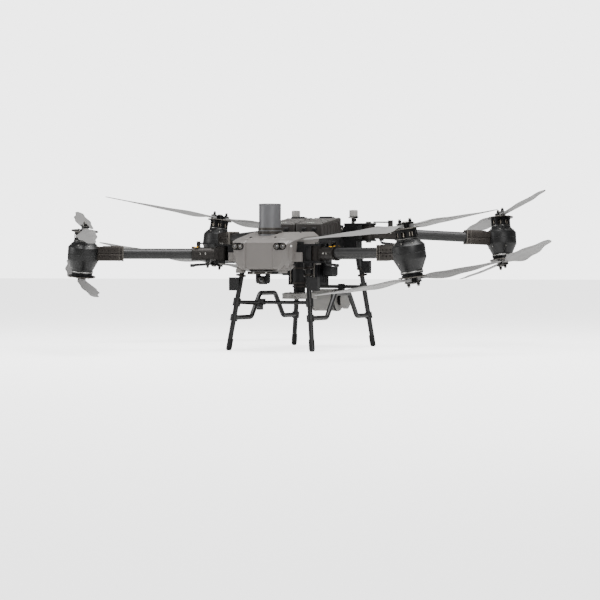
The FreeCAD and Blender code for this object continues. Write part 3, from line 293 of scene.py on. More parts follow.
for corner in CORNERS:
    body, node = f"arm_{corner}", f"motor_pod_{corner}"
    outline = [
        (0, 62), (43, 62), (45, 65), (49.5, 65), (51.5, 63), (52, 58), (54, 55.5), (57, 54), (73.5, 35.5),
        (76.2, 33), (77, 30), (77, 3), (76, 2), (76, -1), (77, -2), (77, -27), (76, -31), (73.5, -35),
        (56, -72), (53.5, -76), (52, -80), (52, -84), (50, -85.5), (50, -90), (52, -91.5),
        (52, -96), (50, -98),
        (0, -98),
    ]
    barrel = piece(f"pod_barrel_{corner}", turned(outline, 96), pod_frames[corner], body, pod_nylon)
    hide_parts(node)
    rings = joined(
        turned([(50.4, -85.5), (53, -85.5), (53.6, -86.5), (53.6, -89), (53, -90), (50.4, -90)],
               72, ring=True),
        turned([(46, 64.8), (50.4, 64.8), (51, 65.4), (51, 66.6), (50, 67.2), (46, 67.2)], 72, ring=True),
    )
    piece(f"pod_rings_{corner}", rings, pod_frames[corner], body, bright_ring)
    shoulder = []
    for number in range(8):
        angle = math.radians(45 * number + 22.5)
        outward = Vector((math.cos(angle), math.sin(angle), 0))
        slope = Vector((outward.x * 0.76, outward.y * 0.76, 0.65))
        shoulder.append(moved(socket_screw(3.2, 2.4), facing(outward * 65.5 + Vector((0, 0, 44.2)), slope)))
    for angle in (-150, -90, 150):
        outward = Vector((math.cos(math.radians(angle)), math.sin(math.radians(angle)), 0))
        slope = outward + Vector((0, 0, -0.45))
        shoulder.append(moved(socket_screw(3.4, 2.6), facing(outward * 69.2 + Vector((0, 0, -44)), slope)))
    piece(f"pod_screws_{corner}", joined(*shoulder), pod_frames[corner], body, screw_steel)

    mouth = arm_lengths[corner] - barrel_radius - clamp_reach
    middle = mouth + clamp_reach / 2 + 12
    halves = []
    for side in (-1, 1):
        halves.append(block(clamp_reach + 24, clamp_wide, clamp_high / 2 - 1.2,
                            (middle, 0, side * (clamp_high / 4 + 0.6)), 5))
    halves.append(block(clamp_reach + 20, clamp_wide - 8, 8, (middle, 0, 0), 1))
    for number in range(4):
        halves.append(block(9, clamp_wide - 22, 5, (mouth + 24 + 22 * number, 0, clamp_high / 2), 1.8))
    halves.append(block(86, 5, 6.5, (mouth + 60, 22, clamp_high / 2), 1.5))
    halves.append(block(86, 5, 6.5, (mouth + 60, -22, clamp_high / 2), 1.5))
    piece(f"pod_clamp_{corner}", joined(*halves), tube_frames[corner], body, clamp_metal)
    # The lighter lips at the clamp's mouth are worn metal and also a painted highlight along its edges.
    lips = [block(7, clamp_wide + 5, clamp_high + 5, (mouth + 3.5, 0, 0), 2.5),
            block(4, clamp_wide + 3, clamp_high + 3, (mouth + 22, 0, 0), 1.6)]
    piece(f"pod_clamp_lip_{corner}", joined(*lips), tube_frames[corner], body, worn_and_highlit_edge)
    screws = []
    for along in (14, 42, 70, 98):
        for side in (-1, 1):
            for face_up in (-1, 1):
                spot = (mouth + along, side * (clamp_wide / 2), face_up * 14)
                screws.append(moved(socket_screw(4, 3.4), facing(spot, (0, side, 0))))
    piece(f"pod_clamp_screws_{corner}", joined(*screws), tube_frames[corner], body, clamp_metal)

# ---------------------------------------------------------------- motors, hubs and their bolts
# The motors are outrunners: a machined black bell turns round a stator wound with enamelled
# copper, which shows through the cooling windows. The hub is a steel strap over a boss, and its
# two shouldered bolts hold the blade roots.

bell_metal = metal("black anodised bell", "#1c1c1d", roughness=0.34, metallic=0.8)
coil_copper = metal("stator laminations and coils", "#a39c92", roughness=0.4, streak=3)
dress(bell_metal, *[n for n in frame["nodes"] if n.startswith("rotor_hub_")])
plate_at, plate_thick, pod_top, pod_bottom = 112, 5, 63, 98
for corner in CORNERS:
    for level in ("upper", "lower"):
        flip = 1 if level == "upper" else -1
        housing = pod_top if level == "upper" else pod_bottom
        rotor = f"rotor_{corner}_{level}"
        axis = Vector(joint_of[f"spin_{corner}_upper"]["axis"]) * flip
        centre = Vector(joint_of[f"spin_{corner}_upper"]["pos_m"]) / MM
        pivot = Vector(joint_of[f"fold_blade_{corner}_{level}_a"]["pos_m"]) / MM
        here = facing(centre, axis, pivot - centre)
        if level == "upper":
            plate = [(14, housing + 3), (42, housing + 3), (42, housing + 7), (14, housing + 7)]
            coils = [turned(plate, 48, True)]
            for number in range(18):
                turn = Matrix.Rotation(math.tau * number / 18, 4, "Z")
                coils.append(moved(block(20, 6.5, 28, (34, 0, housing + 20), 2.4), turn))
            piece(f"stator_{corner}_{level}", joined(*coils), here, f"arm_{corner}", coil_copper)
        top = plate_at + plate_thick / 2
        bolts = []
        for number in range(6):
            angle = math.radians(60 * number + 30)
            spot = (56 * math.cos(angle), 56 * math.sin(angle), top)
            bolts.append(moved(socket_screw(3.4, 3.2), facing(spot)))
        for side in (-1, 1):
            x = side * 36
            nut = [(0, 37), (5.6, 37), (6.2, 38), (6.2, 43), (5.4, 44), (0, 44)]
            bolts.append(moved(turned(nut, 24), facing((x, 0, top))))
            bolts.append(moved(turned([(8.6, 24), (12, 24), (12.4, 24.6), (12.4, 26), (8.6, 26)], 32, True),
                               facing((x, 0, top))))
        cap = [(0, 24), (13, 24), (14, 25), (14, 28.5), (12, 30.5), (6, 31.5), (0, 31.5)]
        bolts.append(moved(turned(cap, 32), facing((0, 0, top))))
        piece(f"hub_fittings_{corner}_{level}", joined(*bolts), here, rotor, screw_steel)
        # The lighter rim round the hub plate is a painted reflection along the plate's edge.
        rim = [(62, plate_thick / 2), (64.9, plate_thick / 2), (66.3, 1.6), (66.3, -1.6),
               (64.9, -plate_thick / 2),
               (62, -plate_thick / 2)]
        rim_shape = moved(turned(rim, 72, True), facing((0, 0, plate_at)))
        piece(f"hub_plate_rim_{corner}_{level}", rim_shape, here, rotor, worn_and_highlit_edge)

# ---------------------------------------------------------------- blades
# Moulded carbon-filled blades, painted a satin light grey. The paint's tone and gloss vary in broad
# random patches, and a fine grit roughens it.

blade_paint, blade_shader, blade_place = new_finish("satin grey blade paint", IOR=1.5, Coat_Weight=0.1,
                                                    Coat_Roughness=0.3)
span_lines = add(blade_paint, "TexNoise",
                 {"Vector": blade_place, "Scale": cycles_per_metre(60), "Detail": 5.0})
grit = add(blade_paint, "TexNoise", {"Vector": blade_place, "Scale": cycles_per_metre(4), "Detail": 3.0})
blade_tone = add(blade_paint, "Mix",
                 {0: span_lines.outputs["Fac"], 6: linear("#706f6e"), 7: linear("#8b8a89")},
                 data_type="RGBA")
blade_gloss = add(blade_paint, "MapRange",
                  {"Value": span_lines.outputs["Fac"], "To Min": 0.34, "To Max": 0.5})
blade_relief = add(blade_paint, "Bump", {"Height": grit.outputs["Fac"], "Strength": 0.05, "Distance": 0.0003})
feed(blade_paint, blade_shader, Base_Color=blade_tone.outputs[2], Roughness=blade_gloss.outputs[0],
     Normal=blade_relief.outputs[0])
dress(blade_paint, *[n for n in frame["nodes"] if n.startswith("blade_")])

# ---------------------------------------------------------------- knuckles, latches and hinge pins
# The arm roots are machined castings, anodised dark, that turn on steel pins between bolted brackets.
# Lighter metal bands at their lips are worn metal and also a painted highlight along those edges.
# A flat lever locks each one open, and gold marks show that it is shut. A bent handle below frees the lock.

knuckle_metal = metal("machined dark casting", "#24211f", roughness=0.42, metallic=0.6)
bracket_metal = metal("black bracket", "#161617", roughness=0.45, metallic=0.6)
gold_anodised = metal("gold anodised aluminium", "#e0a81c", roughness=0.35, metallic=0.7)
pin_steel = metal("ground steel pin", "#8f8d8a", roughness=0.25)
dress(knuckle_metal, *[f"arm_knuckle_{c}" for c in CORNERS])
dress(bracket_metal, "arm_hinge_brackets", *[f"latch_lever_{c}" for c in CORNERS])
dress(pin_steel, "arm_hinge_pins")
handle_black = moulded("glass filled nylon handle", "#121213", roughness=0.5)
for corner in CORNERS:
    body = f"arm_{corner}"
    marks = [block(20, 7, 3.5, (128, side * 24, 32), 1.2) for side in (-1, 1)]
    marks.append(block(12, 30, 3, (140, 0, 34.5), 1.2))
    piece(f"lock_marks_{corner}", joined(*marks), tube_frames[corner], body, gold_anodised)
    # These lighter bands at the socket's lips are worn metal and also a painted highlight along the edge.
    edge_ring = [(33.2, 0), (36.6, 0), (37.4, 0.9), (37.4, 2.6), (36.6, 3.5), (33.2, 3.5)]
    bands = joined(moved(turned(edge_ring, 64, True), facing((147, 0, 0), (1, 0, 0))),
                   moved(turned(edge_ring, 64, True), facing((139.4, 0, 0), (1, 0, 0))),
                   moved(turned([(26.1, 0), (31, 0), (31.6, 0.8), (31.6, 7), (30.8, 8), (26.1, 8)], 64, True),
                         facing((150, 0, 0), (1, 0, 0))))
    piece(f"socket_bands_{corner}", bands, tube_frames[corner], body, worn_and_highlit_edge)
    grip = bmesh.new()
    bmesh.ops.create_circle(grip, cap_ends=False, radius=6.5, segments=20,
                            matrix=facing((70, 0, -33), (0.2, 0, -1)))
    ring_edges = list(grip.edges)
    for centre_at, swing, steps in (((84, 0, -40), -75, 6), ((84, 0, -40), 0, 0)):
        if steps:
            swept = bmesh.ops.spin(grip, geom=ring_edges, cent=centre_at, axis=(0, 1, 0),
                                   angle=math.radians(swing), steps=steps)
            ring_edges = [e for e in swept["geom_last"] if isinstance(e, bmesh.types.BMEdge)]
    stretched = bmesh.ops.extrude_edge_only(grip, edges=ring_edges)
    far_verts = [v for v in stretched["geom"] if isinstance(v, bmesh.types.BMVert)]
    bmesh.ops.translate(grip, verts=far_verts, vec=(62, 0, -4))
    bmesh.ops.holes_fill(grip, edges=[e for e in grip.edges if len(e.link_faces) == 1])
    hooks = joined(grip, block(20, 26, 10, (70, 0, -36), 2.5), block(24, 15, 16, (146, 0, -58), 4))
    piece(f"lock_handle_{corner}", hooks, tube_frames[corner], body, handle_black)
    bolt_heads = []
    for along, side in ((58, 1), (58, -1), (84, 1), (84, -1), (108, 1), (108, -1)):
        at = (along, side * 33 if along > 60 else side * 26, 0)
        bolt_heads.append(moved(socket_screw(4.2, 3.6), facing(at, (0, side, 0))))
    piece(f"knuckle_screws_{corner}", joined(*bolt_heads), tube_frames[corner], body, screw_steel)

# ---------------------------------------------------------------- nose cowl
# The cowl is injection moulded in grey polycarbonate blend, with raised cheeks on both sides of
# its face. Each cheek carries a glossy window over two vision lenses, and screws with dark heads
# hold its top. Tabs at its foot and a block on each side clip it to the tray.

cowl_grey = moulded("spark eroded grey cowl", "#6e6a67", roughness=0.36, grain=1.6, depth=0.12, patch=0.04,
                    coat=0.08)
window_black = moulded("glossy black window", "#050506", roughness=0.12, patch=0.0, depth=0.0, coat=0.6)
lens_glass = moulded("coated lens glass", "#0a0c14", roughness=0.05, patch=0.0, depth=0.0, coat=1.0)
# White plastic for the side studs; the same white paints the glints in the vision lenses.
white_plastic_and_glint = moulded("white plastic and painted lens glint", "#e6e5e2", roughness=0.4)
dress(cowl_grey, "nose_cowl")
cast_distance = 870
in_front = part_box("nose_cowl")[0].y / MM - cast_distance
nose_tree = BVHTree.FromObject(frame["nodes"]["nose_cowl"], bpy.context.evaluated_depsgraph_get())


def on_cowl(x, z):
    """The point of the cowl's face at a width and a height, in mm, or None past its edge."""
    spot = nose_tree.ray_cast(Vector((x, in_front, z)) * MM, Vector((0, 1, 0)))[0]
    return spot / MM if spot else None


def skin_pad(x_low, x_high, z_low, z_high, rise, columns, rows):
    """A pad that follows the cowl's face, rounded at its edge and standing proud of it."""
    pad = bmesh.new()
    bmesh.ops.create_grid(pad, x_segments=columns, y_segments=rows, size=0.5)
    for vert in list(pad.verts):
        across, along = vert.co.x + 0.5, vert.co.y + 0.5
        x = x_low + (x_high - x_low) * across
        z = z_low + (z_high - z_low) * along
        spot = on_cowl(x, z)
        if spot is None:
            pad.verts.remove(vert)
            continue
        edge = min(across, 1 - across) * columns, min(along, 1 - along) * rows
        lift = rise * min(1, (0.15 + min(edge)) / 1.4) ** 0.5
        vert.co = Vector((spot.x, spot.y - lift, spot.z))
    back = bmesh.ops.extrude_face_region(pad, geom=list(pad.faces))["geom"]
    back = [part for part in back if isinstance(part, bmesh.types.BMVert)]
    bmesh.ops.translate(pad, verts=back, vec=(0, rise + 2, 0))
    return pad


cheeks = []
for side in (-1, 1):
    inner, outer = side * 74, side * 148
    cheeks.append(skin_pad(min(inner, outer), max(inner, outer), 404, 548, 7, 22, 34))
piece("cowl_cheeks", joined(*cheeks), Matrix(), "airframe", cowl_grey, crease=50)
brow = skin_pad(-132, 132, 549, 556, 3, 60, 4)
piece("cowl_brow", brow, Matrix(), "airframe", cowl_grey, crease=50)

windows, bezels, lenses, glints = [], [], [], []
for side in (-1, 1):
    spot = on_cowl(side * 112, 513)
    here = facing(spot + Vector((0, -7.4, 0)), (0.12 * side, -1, 0.02), (1, 0, 0))
    pane = bmesh.new()
    for shift in (-15, 15):
        bmesh.ops.create_cone(pane, cap_ends=True, segments=40, radius1=17.5, radius2=17.5, depth=5,
                              matrix=Matrix.Translation((shift, 0, 0)))
    bmesh.ops.create_cube(pane, size=1, matrix=Matrix.Diagonal((30, 35, 5, 1)))
    windows.append(moved(pane, here))
    for shift in (-15, 15):
        spin = here @ Matrix.Translation((shift, 0, 2.5))
        bezel = [(8.5, 0), (11.6, 0), (12, 0.5), (12, 1.6), (11.2, 2.2), (9.2, 2.2), (8.5, 1.2)]
        bezels.append(moved(turned(bezel, 40, True), spin))
        lenses.append(moved(turned([(0, 0), (8.6, 0), (8.2, 1.0), (6, 2.4), (3, 3.2), (0, 3.5)], 40), spin))
        # A small white cone set off-centre in each lens is a painted glint: it stands for the highlight on the
        # glass.
        glint = turned([(0, 0.5), (2.4, 0.5), (2.2, 3.6), (0, 3.9)], 20)
        glints.append(moved(glint, spin @ Matrix.Translation((2, 2, 0))))
piece("vision_windows", joined(*windows), Matrix(), "airframe", window_black)
piece("vision_bezels", joined(*bezels), Matrix(), "airframe", worn_and_highlit_edge)
piece("vision_lenses", joined(*lenses), Matrix(), "airframe", lens_glass)
piece("vision_painted_glints", joined(*glints), Matrix(), "airframe", white_plastic_and_glint)

top_screws = []
for x, y in ((-64, -432), (68, -432), (-118, -250), (118, -250), (-88, -140), (88, -140)):
    hit = nose_tree.ray_cast(Vector((x, y, 900)) * MM, Vector((0, 0, -1)))
    if hit[0]:
        here = facing(hit[0] / MM, hit[1])
        washer = [(0, -1), (8.2, -1), (8.2, 0.8), (7.2, 1.4), (6.4, 0.3), (0, 0.3)]
        top_screws.append(moved(turned(washer, 28), here))
        top_screws.append(moved(socket_screw(5.2, 3.2), here))
piece("cowl_screws", joined(*top_screws), Matrix(), "airframe", bracket_metal)


def beside_cowl(side, y, z):
    """The cowl's skin at a height, met from one side, in mm, and its normal."""
    hit = nose_tree.ray_cast(Vector((side * 600, y, z)) * MM, Vector((-side, 0, 0)))
    return hit[0] / MM, hit[1]


studs, clips = [], []
for side in (-1, 1):
    spot, normal = beside_cowl(side, -440, 514)
    studs.append(moved(turned([(0, -2), (5.5, -2), (5.5, 1), (4.5, 2.4), (0, 3)], 24), facing(spot, normal)))
    spot = beside_cowl(side, -401, 461)[0]
    clips.append(moved(block(11, 34, 4, (0, 0, 0), 1.5), facing(spot, (side, 0, 0), (0, 1, 0))))
    clips.append(moved(socket_screw(3.4, 2.6), facing(spot + Vector((side * 1.8, 0, 9)), (side, 0, 0))))
    clips.append(block(34, 20, 22, (side * 118, -446, 394), 4))
    clips.append(block(24, 16, 26, (side * 118, -452, 408), 5))
piece("cowl_side_studs", joined(*studs), Matrix(), "airframe", white_plastic_and_glint)
piece("cowl_clips", joined(*clips), Matrix(), "airframe", cowl_grey)

# ---------------------------------------------------------------- parachute canister
# A spun aluminium can, painted satin grey, that sits in a darker clamping base. Its lid is a
# crimped cap that the parachute pushes off.

can_paint = metal("satin painted can", "#68686a", roughness=0.36, metallic=0.35, along=(1, 1, 0.05))
base_paint = metal("dark anodised clamp ring", "#46433f", roughness=0.34, metallic=0.8)
dress(can_paint, "parachute_canister")
can_low, can_high = [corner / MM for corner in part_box("parachute_canister")]
can_middle = (can_low + can_high) / 2
can_at = Matrix.Translation((can_middle.x, can_middle.y, can_low.z))
can_tall = can_high.z - can_low.z
lid = [(0, can_tall - 2), (52.8, can_tall - 2), (54.6, can_tall - 3.5), (54.6, can_tall - 9),
       (54.1, can_tall - 10), (50, can_tall - 10), (0, can_tall - 10)]
piece("canister_lid", turned(lid, 96), can_at, "airframe", can_paint)
rim = [(50, can_tall - 1.5), (51.2, can_tall - 0.2), (50, can_tall + 0.6), (47, can_tall - 0.6),
       (46, can_tall - 3)]
piece("canister_rim", turned(rim, 96, True), can_at, "airframe", can_paint)
band = [(54.2, 45), (57, 45), (58.6, 43.5), (58.6, 33), (57.4, 32), (57.4, 28), (58.6, 27), (58.6, 14),
        (57.2, 12), (57.2, 2), (54, 2)]
piece("canister_clamp", turned(band, 96, True), can_at, "airframe", base_paint)
lugs = []
for angle in (-65, 35, 150, 240):
    turn = can_at @ Matrix.Rotation(math.radians(angle), 4, "Z")
    lugs.append(moved(joined(block(9, 14, 14, (60.5, 0, 21), 2),
                             moved(socket_screw(3, 3), facing((60.5, 7, 21), (0, 1, 0)))), turn))
piece("canister_lugs", joined(*lugs), Matrix(), "airframe", base_paint)

# ---------------------------------------------------------------- batteries
# Two slide-in packs with warm dark sides and lighter sloping lids, screwed round their edge.
# Each has a handle at its tail, two catches at its front, ribs on its outer side and a row of
# charge lamps.

pack_side = moulded("flame retardant pack side", "#292624", roughness=0.42, grain=1.8, depth=0.2)
pack_lid = moulded("moulded pack lid", "#565452", roughness=0.38, grain=1.8, depth=0.15)
lamp_green = moulded("charge lamp lens", "#cfd8cf", roughness=0.2)
for side_name, side in (("left", 1), ("right", -1)):
    body = f"battery_{side_name}"
    low, high = [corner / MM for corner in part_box(body)]
    middle = (low + high) / 2
    wide, long, tall = high - low
    front_drop = 34
    case = bmesh.new()
    bulk = Matrix.Translation(middle) @ Matrix.Diagonal((wide, long, tall, 1))
    bmesh.ops.create_cube(case, size=1, matrix=bulk)
    for vert in case.verts:
        if vert.co.y < middle.y and vert.co.z > middle.z:
            vert.co.z -= front_drop
    bmesh.ops.bevel(case, geom=list(case.edges), offset=7, offset_type="OFFSET", segments=4, profile=0.5,
                    affect="EDGES", material=-1)
    slope = math.atan2(front_drop, long)
    lid_at = facing((middle.x, middle.y, high.z - front_drop / 2), (0, -math.sin(slope), math.cos(slope)))
    pack = piece(f"battery_case_{side_name}", case, Matrix(), body, pack_side)
    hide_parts(body)
    lid_parts = [block(wide - 9, long - 12, 5, (0, 0, -1.2), 2.2),
                 block(wide - 38, long - 60, 3, (0, -8, 1.4), 1.2)]
    for number in range(5):
        lid_parts.append(block(wide - 56, 5, 2.4, (0, -70 + 22 * number, 3), 1))
    piece(f"battery_lid_{side_name}", joined(*lid_parts), lid_at, body, pack_lid)
    ribs = []
    flank = (high.x if side > 0 else low.x) + side * 0.8
    for number in range(6):
        y = low.y + 34 + number * 36
        reach_up = tall - front_drop + front_drop * (y - low.y) / long
        ribs.append(block(5, 10, reach_up - 26, (flank, y, low.z + reach_up / 2 - 2), 2))
    ribs.append(block(5, long - 30, 8, (flank, middle.y, low.z + 12), 2))
    piece(f"battery_ribs_{side_name}", joined(*ribs), Matrix(), body, pack_side)
    catch = [block(26, 9, 20, (middle.x - 28, low.y - 1.5, low.z + 42), 3),
             block(26, 9, 20, (middle.x + 28, low.y - 1.5, low.z + 42), 3),
             block(14, 6, 8, (middle.x - 28, low.y - 6, low.z + 44), 2),
             block(14, 6, 8, (middle.x + 28, low.y - 6, low.z + 44), 2),
             block(70, 8, 12, (middle.x, high.y - 30, high.z + 1), 3.5)]
    for x in (-34, 34):
        catch.append(block(9, 34, 10, (middle.x + x, high.y - 20, high.z - 1), 3))
    piece(f"battery_catches_{side_name}", joined(*catch), Matrix(), body, handle_black)
    edge_screws = []
    for y in (-0.42, -0.14, 0.14, 0.42):
        for x in (-0.44, 0.44):
            edge_screws.append(moved(socket_screw(2.6, 2), facing((x * wide, y * long, 1.2))))
    piece(f"battery_screws_{side_name}", joined(*edge_screws), lid_at, body, bracket_metal)
    lamps = [block(7, 3.2, 2, (-16 + 10.5 * number, -long / 2 + 20, 2.2), 0.8) for number in range(4)]
    piece(f"battery_lamps_{side_name}", joined(*lamps), lid_at, body, lamp_green)

# ---------------------------------------------------------------- rear housing and satellite antennas
# The flight electronics sit in a black moulded housing behind the batteries, with a bolted lid,
# cooling ribs and round sealed connectors. Two light grey antenna cans stand on posts beside it,
# each on a dark flange.

housing_black = moulded("black moulded housing", "#08080a", roughness=0.45, grain=2.0, depth=0.2)
antenna_grey = moulded("light grey antenna cap", "#8c8a87", roughness=0.4, grain=1.5)
seal_grey = metal("sealed connector shell", "#8e8b87", roughness=0.36)
low, high = [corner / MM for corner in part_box("rear_housing")]
middle = (low + high) / 2
wide, long, tall = high - low
shell = joined(block(wide, long, tall - 10, (middle.x, middle.y, middle.z - 5), 8, 4),
               block(wide - 14, long - 14, 12, (middle.x, middle.y, high.z - 6), 5))
housing = piece("rear_housing_shell", shell, Matrix(), "airframe", housing_black)
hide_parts("rear_housing")
fins = [block(5, long - 46, 7, (low.x + 30 + 11.5 * number, middle.y + 6, high.z + 1), 1.6)
        for number in range(14)]
for side in (-1, 1):
    for number in range(5):
        at = (middle.x + side * (wide / 2 + 1), low.y + 26 + 24 * number, middle.z - 6)
        fins.append(block(6, 8, tall - 30, at, 2))
piece("housing_fins", joined(*fins), Matrix(), "airframe", housing_black)
socket_wall = [(0, 0), (13, 0), (13, 5), (11, 6), (11, 13), (9.5, 14), (9.5, 9), (0, 9)]
shells, caps = [], []
for x, z in ((-78, 22), (-40, 22), (42, 24), (80, 22), (80, 52)):
    at = facing((x, high.y, low.z + z), (0, 1, 0))
    shells.append(moved(turned(socket_wall, 32), at))
for side in (-1, 1):
    for y, z, radius in ((-50, 38, 11), (-14, 44, 9)):
        at = facing((side * (wide / 2 + 2), middle.y + y, low.z + z), (side, 0, 0.25))
        shells.append(moved(turned([(0, 0), (radius, 0), (radius, 6), (radius * 0.8, 8), (radius * 0.8, 17),
                                    (radius * 0.6, 19), (0, 19)], 32), at))
piece("housing_connectors", joined(*shells), Matrix(), "airframe", seal_grey)
for x in (-0.46, 0, 0.46):
    for y in (-0.44, 0.44):
        at = facing((middle.x + x * wide, middle.y + y * long, high.z - 0.4))
        caps.append(moved(socket_screw(3.2, 2.6), at))
piece("housing_screws", joined(*caps), Matrix(), "airframe", screw_steel)
dress(antenna_grey, "satellite_antennas")
low, high = [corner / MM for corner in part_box("satellite_antennas")]
seat, antenna_radius = -36, 19.5
flanges, domes = [], []
for side in (-1, 1):
    at = Matrix.Translation((side * (high.x - antenna_radius), (low.y + high.y) / 2, high.z))
    flange = [(0, seat - 7), (14, seat - 7), (22, seat - 4), (24, seat - 1), (24, seat + 2),
              (22, seat + 3.5), (0, seat + 3.5)]
    flanges.append(moved(turned(flange, 48), at))
    neck = [(9.2, seat - 24), (13, seat - 24), (13, seat - 8), (9.2, seat - 8)]
    flanges.append(moved(turned(neck, 40, True), at))
    dome = [(0, 1.6), (10, 1.4), (17, 0.3), (19.4, -2), (20, -5), (20, seat + 3.2), (0, seat + 3.2)]
    domes.append(moved(turned(dome, 64), at))
piece("antenna_flanges", joined(*flanges), Matrix(), "airframe", bracket_metal)
piece("antenna_caps", joined(*domes), Matrix(), "airframe", antenna_grey)

# ---------------------------------------------------------------- power module and side boxes
# A finned aluminium box under the tray holds the power electronics. Extruded rails stand on its
# face, cable glands leave its floor, and a smaller relay box hangs on each side of it.

module_black = metal("black anodised heat sink", "#18181a", roughness=0.42, metallic=0.6)
rail_metal = metal("natural aluminium rail", "#77736e", roughness=0.36)
dress(module_black, "power_module")
low, high = [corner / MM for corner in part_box("power_module")]
middle = (low + high) / 2
rails, glands, screws = [], [], []
for number in range(5):
    x = low.x + 16 + number * (high.x - low.x - 32) / 4
    for y, out in ((low.y, -1), (high.y, 1)):
        rails.append(block(7, 7, high.z - low.z - 18, (x, y + out * 2.5, middle.z), 2))
for x in (-42, 0, 42):
    rails.append(block(20, 30, 5, (x, middle.y, low.z - 1), 2))
    glands.append(moved(turned([(0, 6), (9, 6), (9, -4), (7.5, -6), (7.5, -13), (6, -15), (0, -15)], 28),
                        Matrix.Translation((x, middle.y, low.z - 2))))
piece("module_rails", joined(*rails), Matrix(), "airframe", rail_metal)
relay = [block(56, 80, 46, (112, middle.y + 18, high.z - 62), 5),
         block(48, 70, 6, (112, middle.y + 18, high.z - 88), 2.4),
         block(30, 60, 42, (96, middle.y + 18, high.z - 22), 4),
         block(56, 80, 46, (-112, middle.y + 18, high.z - 62), 5),
         block(30, 60, 42, (-96, middle.y + 18, high.z - 22), 4)]
for number in range(5):
    relay.append(block(60, 5, 40, (112, middle.y - 8 + 13 * number, high.z - 62), 1.5))
    relay.append(block(60, 5, 40, (-112, middle.y - 8 + 13 * number, high.z - 62), 1.5))
piece("relay_boxes", joined(*relay, *glands), Matrix(), "airframe", housing_black)

# ---------------------------------------------------------------- payload column and plate
# A turned column hangs from the tray and ends in a round light grey plate, drilled for the
# winch or hook that the user bolts on.

plate_grey = metal("clear anodised payload plate", "#8f8d8a", roughness=0.38, metallic=0.3, along=(1, 1, 1))
dress(bracket_metal, "payload_mount")
payload = mounts["payload_bolts"] / MM
plate_radius, plate_tall = 86, 28
rim = [(plate_radius - 8, plate_tall + 1.2), (plate_radius - 1, plate_tall + 1.2),
       (plate_radius + 1.6, plate_tall - 1.5),
       (plate_radius + 1.6, plate_tall - 9), (plate_radius + 0.6, plate_tall - 10), (plate_radius + 0.6, 9),
       (plate_radius + 1.6, 8), (plate_radius + 1.6, 2), (plate_radius + 0.2, 0.3), (plate_radius - 4, 0.3)]
cover = [(30.6, plate_tall + 1), (76, plate_tall + 1), (77, plate_tall + 2.2), (74, plate_tall + 4.5),
         (38, plate_tall + 5), (30.6, plate_tall + 5)]
discs = joined(turned(rim, 96, True), turned(cover, 96, True))
piece("payload_plate_cover", discs, Matrix.Translation(payload), "airframe", plate_grey)
collars = []
for z in (58, 74, 150):
    ring = [(30.2, z), (35, z), (36, z + 1), (36, z + 9), (35, z + 10), (30.2, z + 10)]
    collars.append(turned(ring, 56, True))
for number in range(6):
    angle = math.tau * number / 6
    at = facing((52 * math.cos(angle), 52 * math.sin(angle), plate_tall + 4.6))
    collars.append(moved(socket_screw(3, 2.6), at))
below = Matrix.Translation(payload)
piece("payload_column_rings", joined(*collars), below, "airframe", clamp_metal)

# ---------------------------------------------------------------- radar
# The rear radar is a light grey drum of moulded polymer, ringed with black seals, on a black
# post that hangs from the rear crossbar.

radar_grey = moulded("light grey radar drum", "#8d8b88", roughness=0.42, grain=1.6)
dress(radar_grey, "radar_drum")
dress(bracket_metal, "radar_post")
low, high = [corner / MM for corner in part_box("radar_drum")]
drum_radius = (high.z - low.z) / 2
drum = facing((0, (low.y + high.y) / 2, (low.z + high.z) / 2), (1, 0, 0), (0, 0, 1))
outer = drum_radius + 1.2
seals = [turned([(drum_radius - 3, x), (outer - 0.3, x), (outer, x + 1), (outer, x + wide),
                 (outer - 0.3, x + wide + 1), (drum_radius - 3, x + wide + 1)], 96, True)
         for x, wide in ((-84, 3), (26, 3), (36, 9))]
seals.append(turned([(0, -91.4), (34, -91.4), (36, -90.6), (36, -88), (0, -88)], 64))
piece("radar_seals", joined(*seals), drum, "airframe", foot_rubber)
faces = [moved(socket_screw(2.8, 2.4), drum @ facing((44 * math.cos(a), 44 * math.sin(a), -90), (0, 0, -1)))
         for a in [math.tau * n / 8 for n in range(8)]]
piece("radar_screws", joined(*faces), Matrix(), "airframe", screw_steel)

# ---------------------------------------------------------------- chin plate and camera
# A black plate under the nose carries the tilting camera in a yoke. The camera is a small
# barrel with a coated lens and a motor cap on each side.

dress(bracket_metal, "chin_plate")
dress(housing_black, "camera_head")
low, high = [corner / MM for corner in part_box("chin_plate")]
trim = [block(high.x - low.x - 10, 6, 10, (0, low.y - 0.5, high.z - 7), 2.4)]
piece("chin_lip", joined(*trim), Matrix(), "airframe", base_paint)
chin_screws = [moved(socket_screw(4.4, 3), facing((x, low.y - 3.2, high.z - 7), (0, -1, 0)))
               for x in (-34, 34)]
piece("chin_screws", joined(*chin_screws), Matrix(), "airframe", bright_ring)
tilt = Vector(joint_of["camera_tilt"]["pos_m"]) / MM
low, high = [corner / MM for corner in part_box("camera_head")]
barrel_out = low.y
look = facing((tilt.x, barrel_out, tilt.z), (0, -1, 0))
shade_ring = [(11, -3), (15.5, -3), (16, -2), (16, 3), (15, 4.5), (13, 4.5), (11.6, 1.5), (11, 0)]
piece("camera_lens_ring", turned(shade_ring, 48, True), look, "camera", base_paint)
glass = [(0, -3), (12, -3), (12, 0), (9, 1.6), (5, 2.6), (0, 3.0)]
piece("camera_lens", turned(glass, 48), look, "camera", lens_glass)
caps = []
for side in (-1, 1):
    edge = high.x if side > 0 else low.x
    cap = [(0, -4), (13, -4), (14.5, -3), (15, 0), (14, 1.2), (9, 1.8), (8, 1), (0, 1)]
    caps.append(moved(turned(cap, 40), facing((edge - side * 6.5, tilt.y, tilt.z), (side, 0, 0))))
piece("camera_side_caps", joined(*caps), Matrix(), "camera", rail_metal)

# ---------------------------------------------------------------- crossbar sensor, handles and link antennas
# A small black height sensor is strapped to the front crossbar on a bracket, with a thin rod
# beside it. The handles are carbon tube, and the link antennas are black moulded boxes strapped
# to the legs.

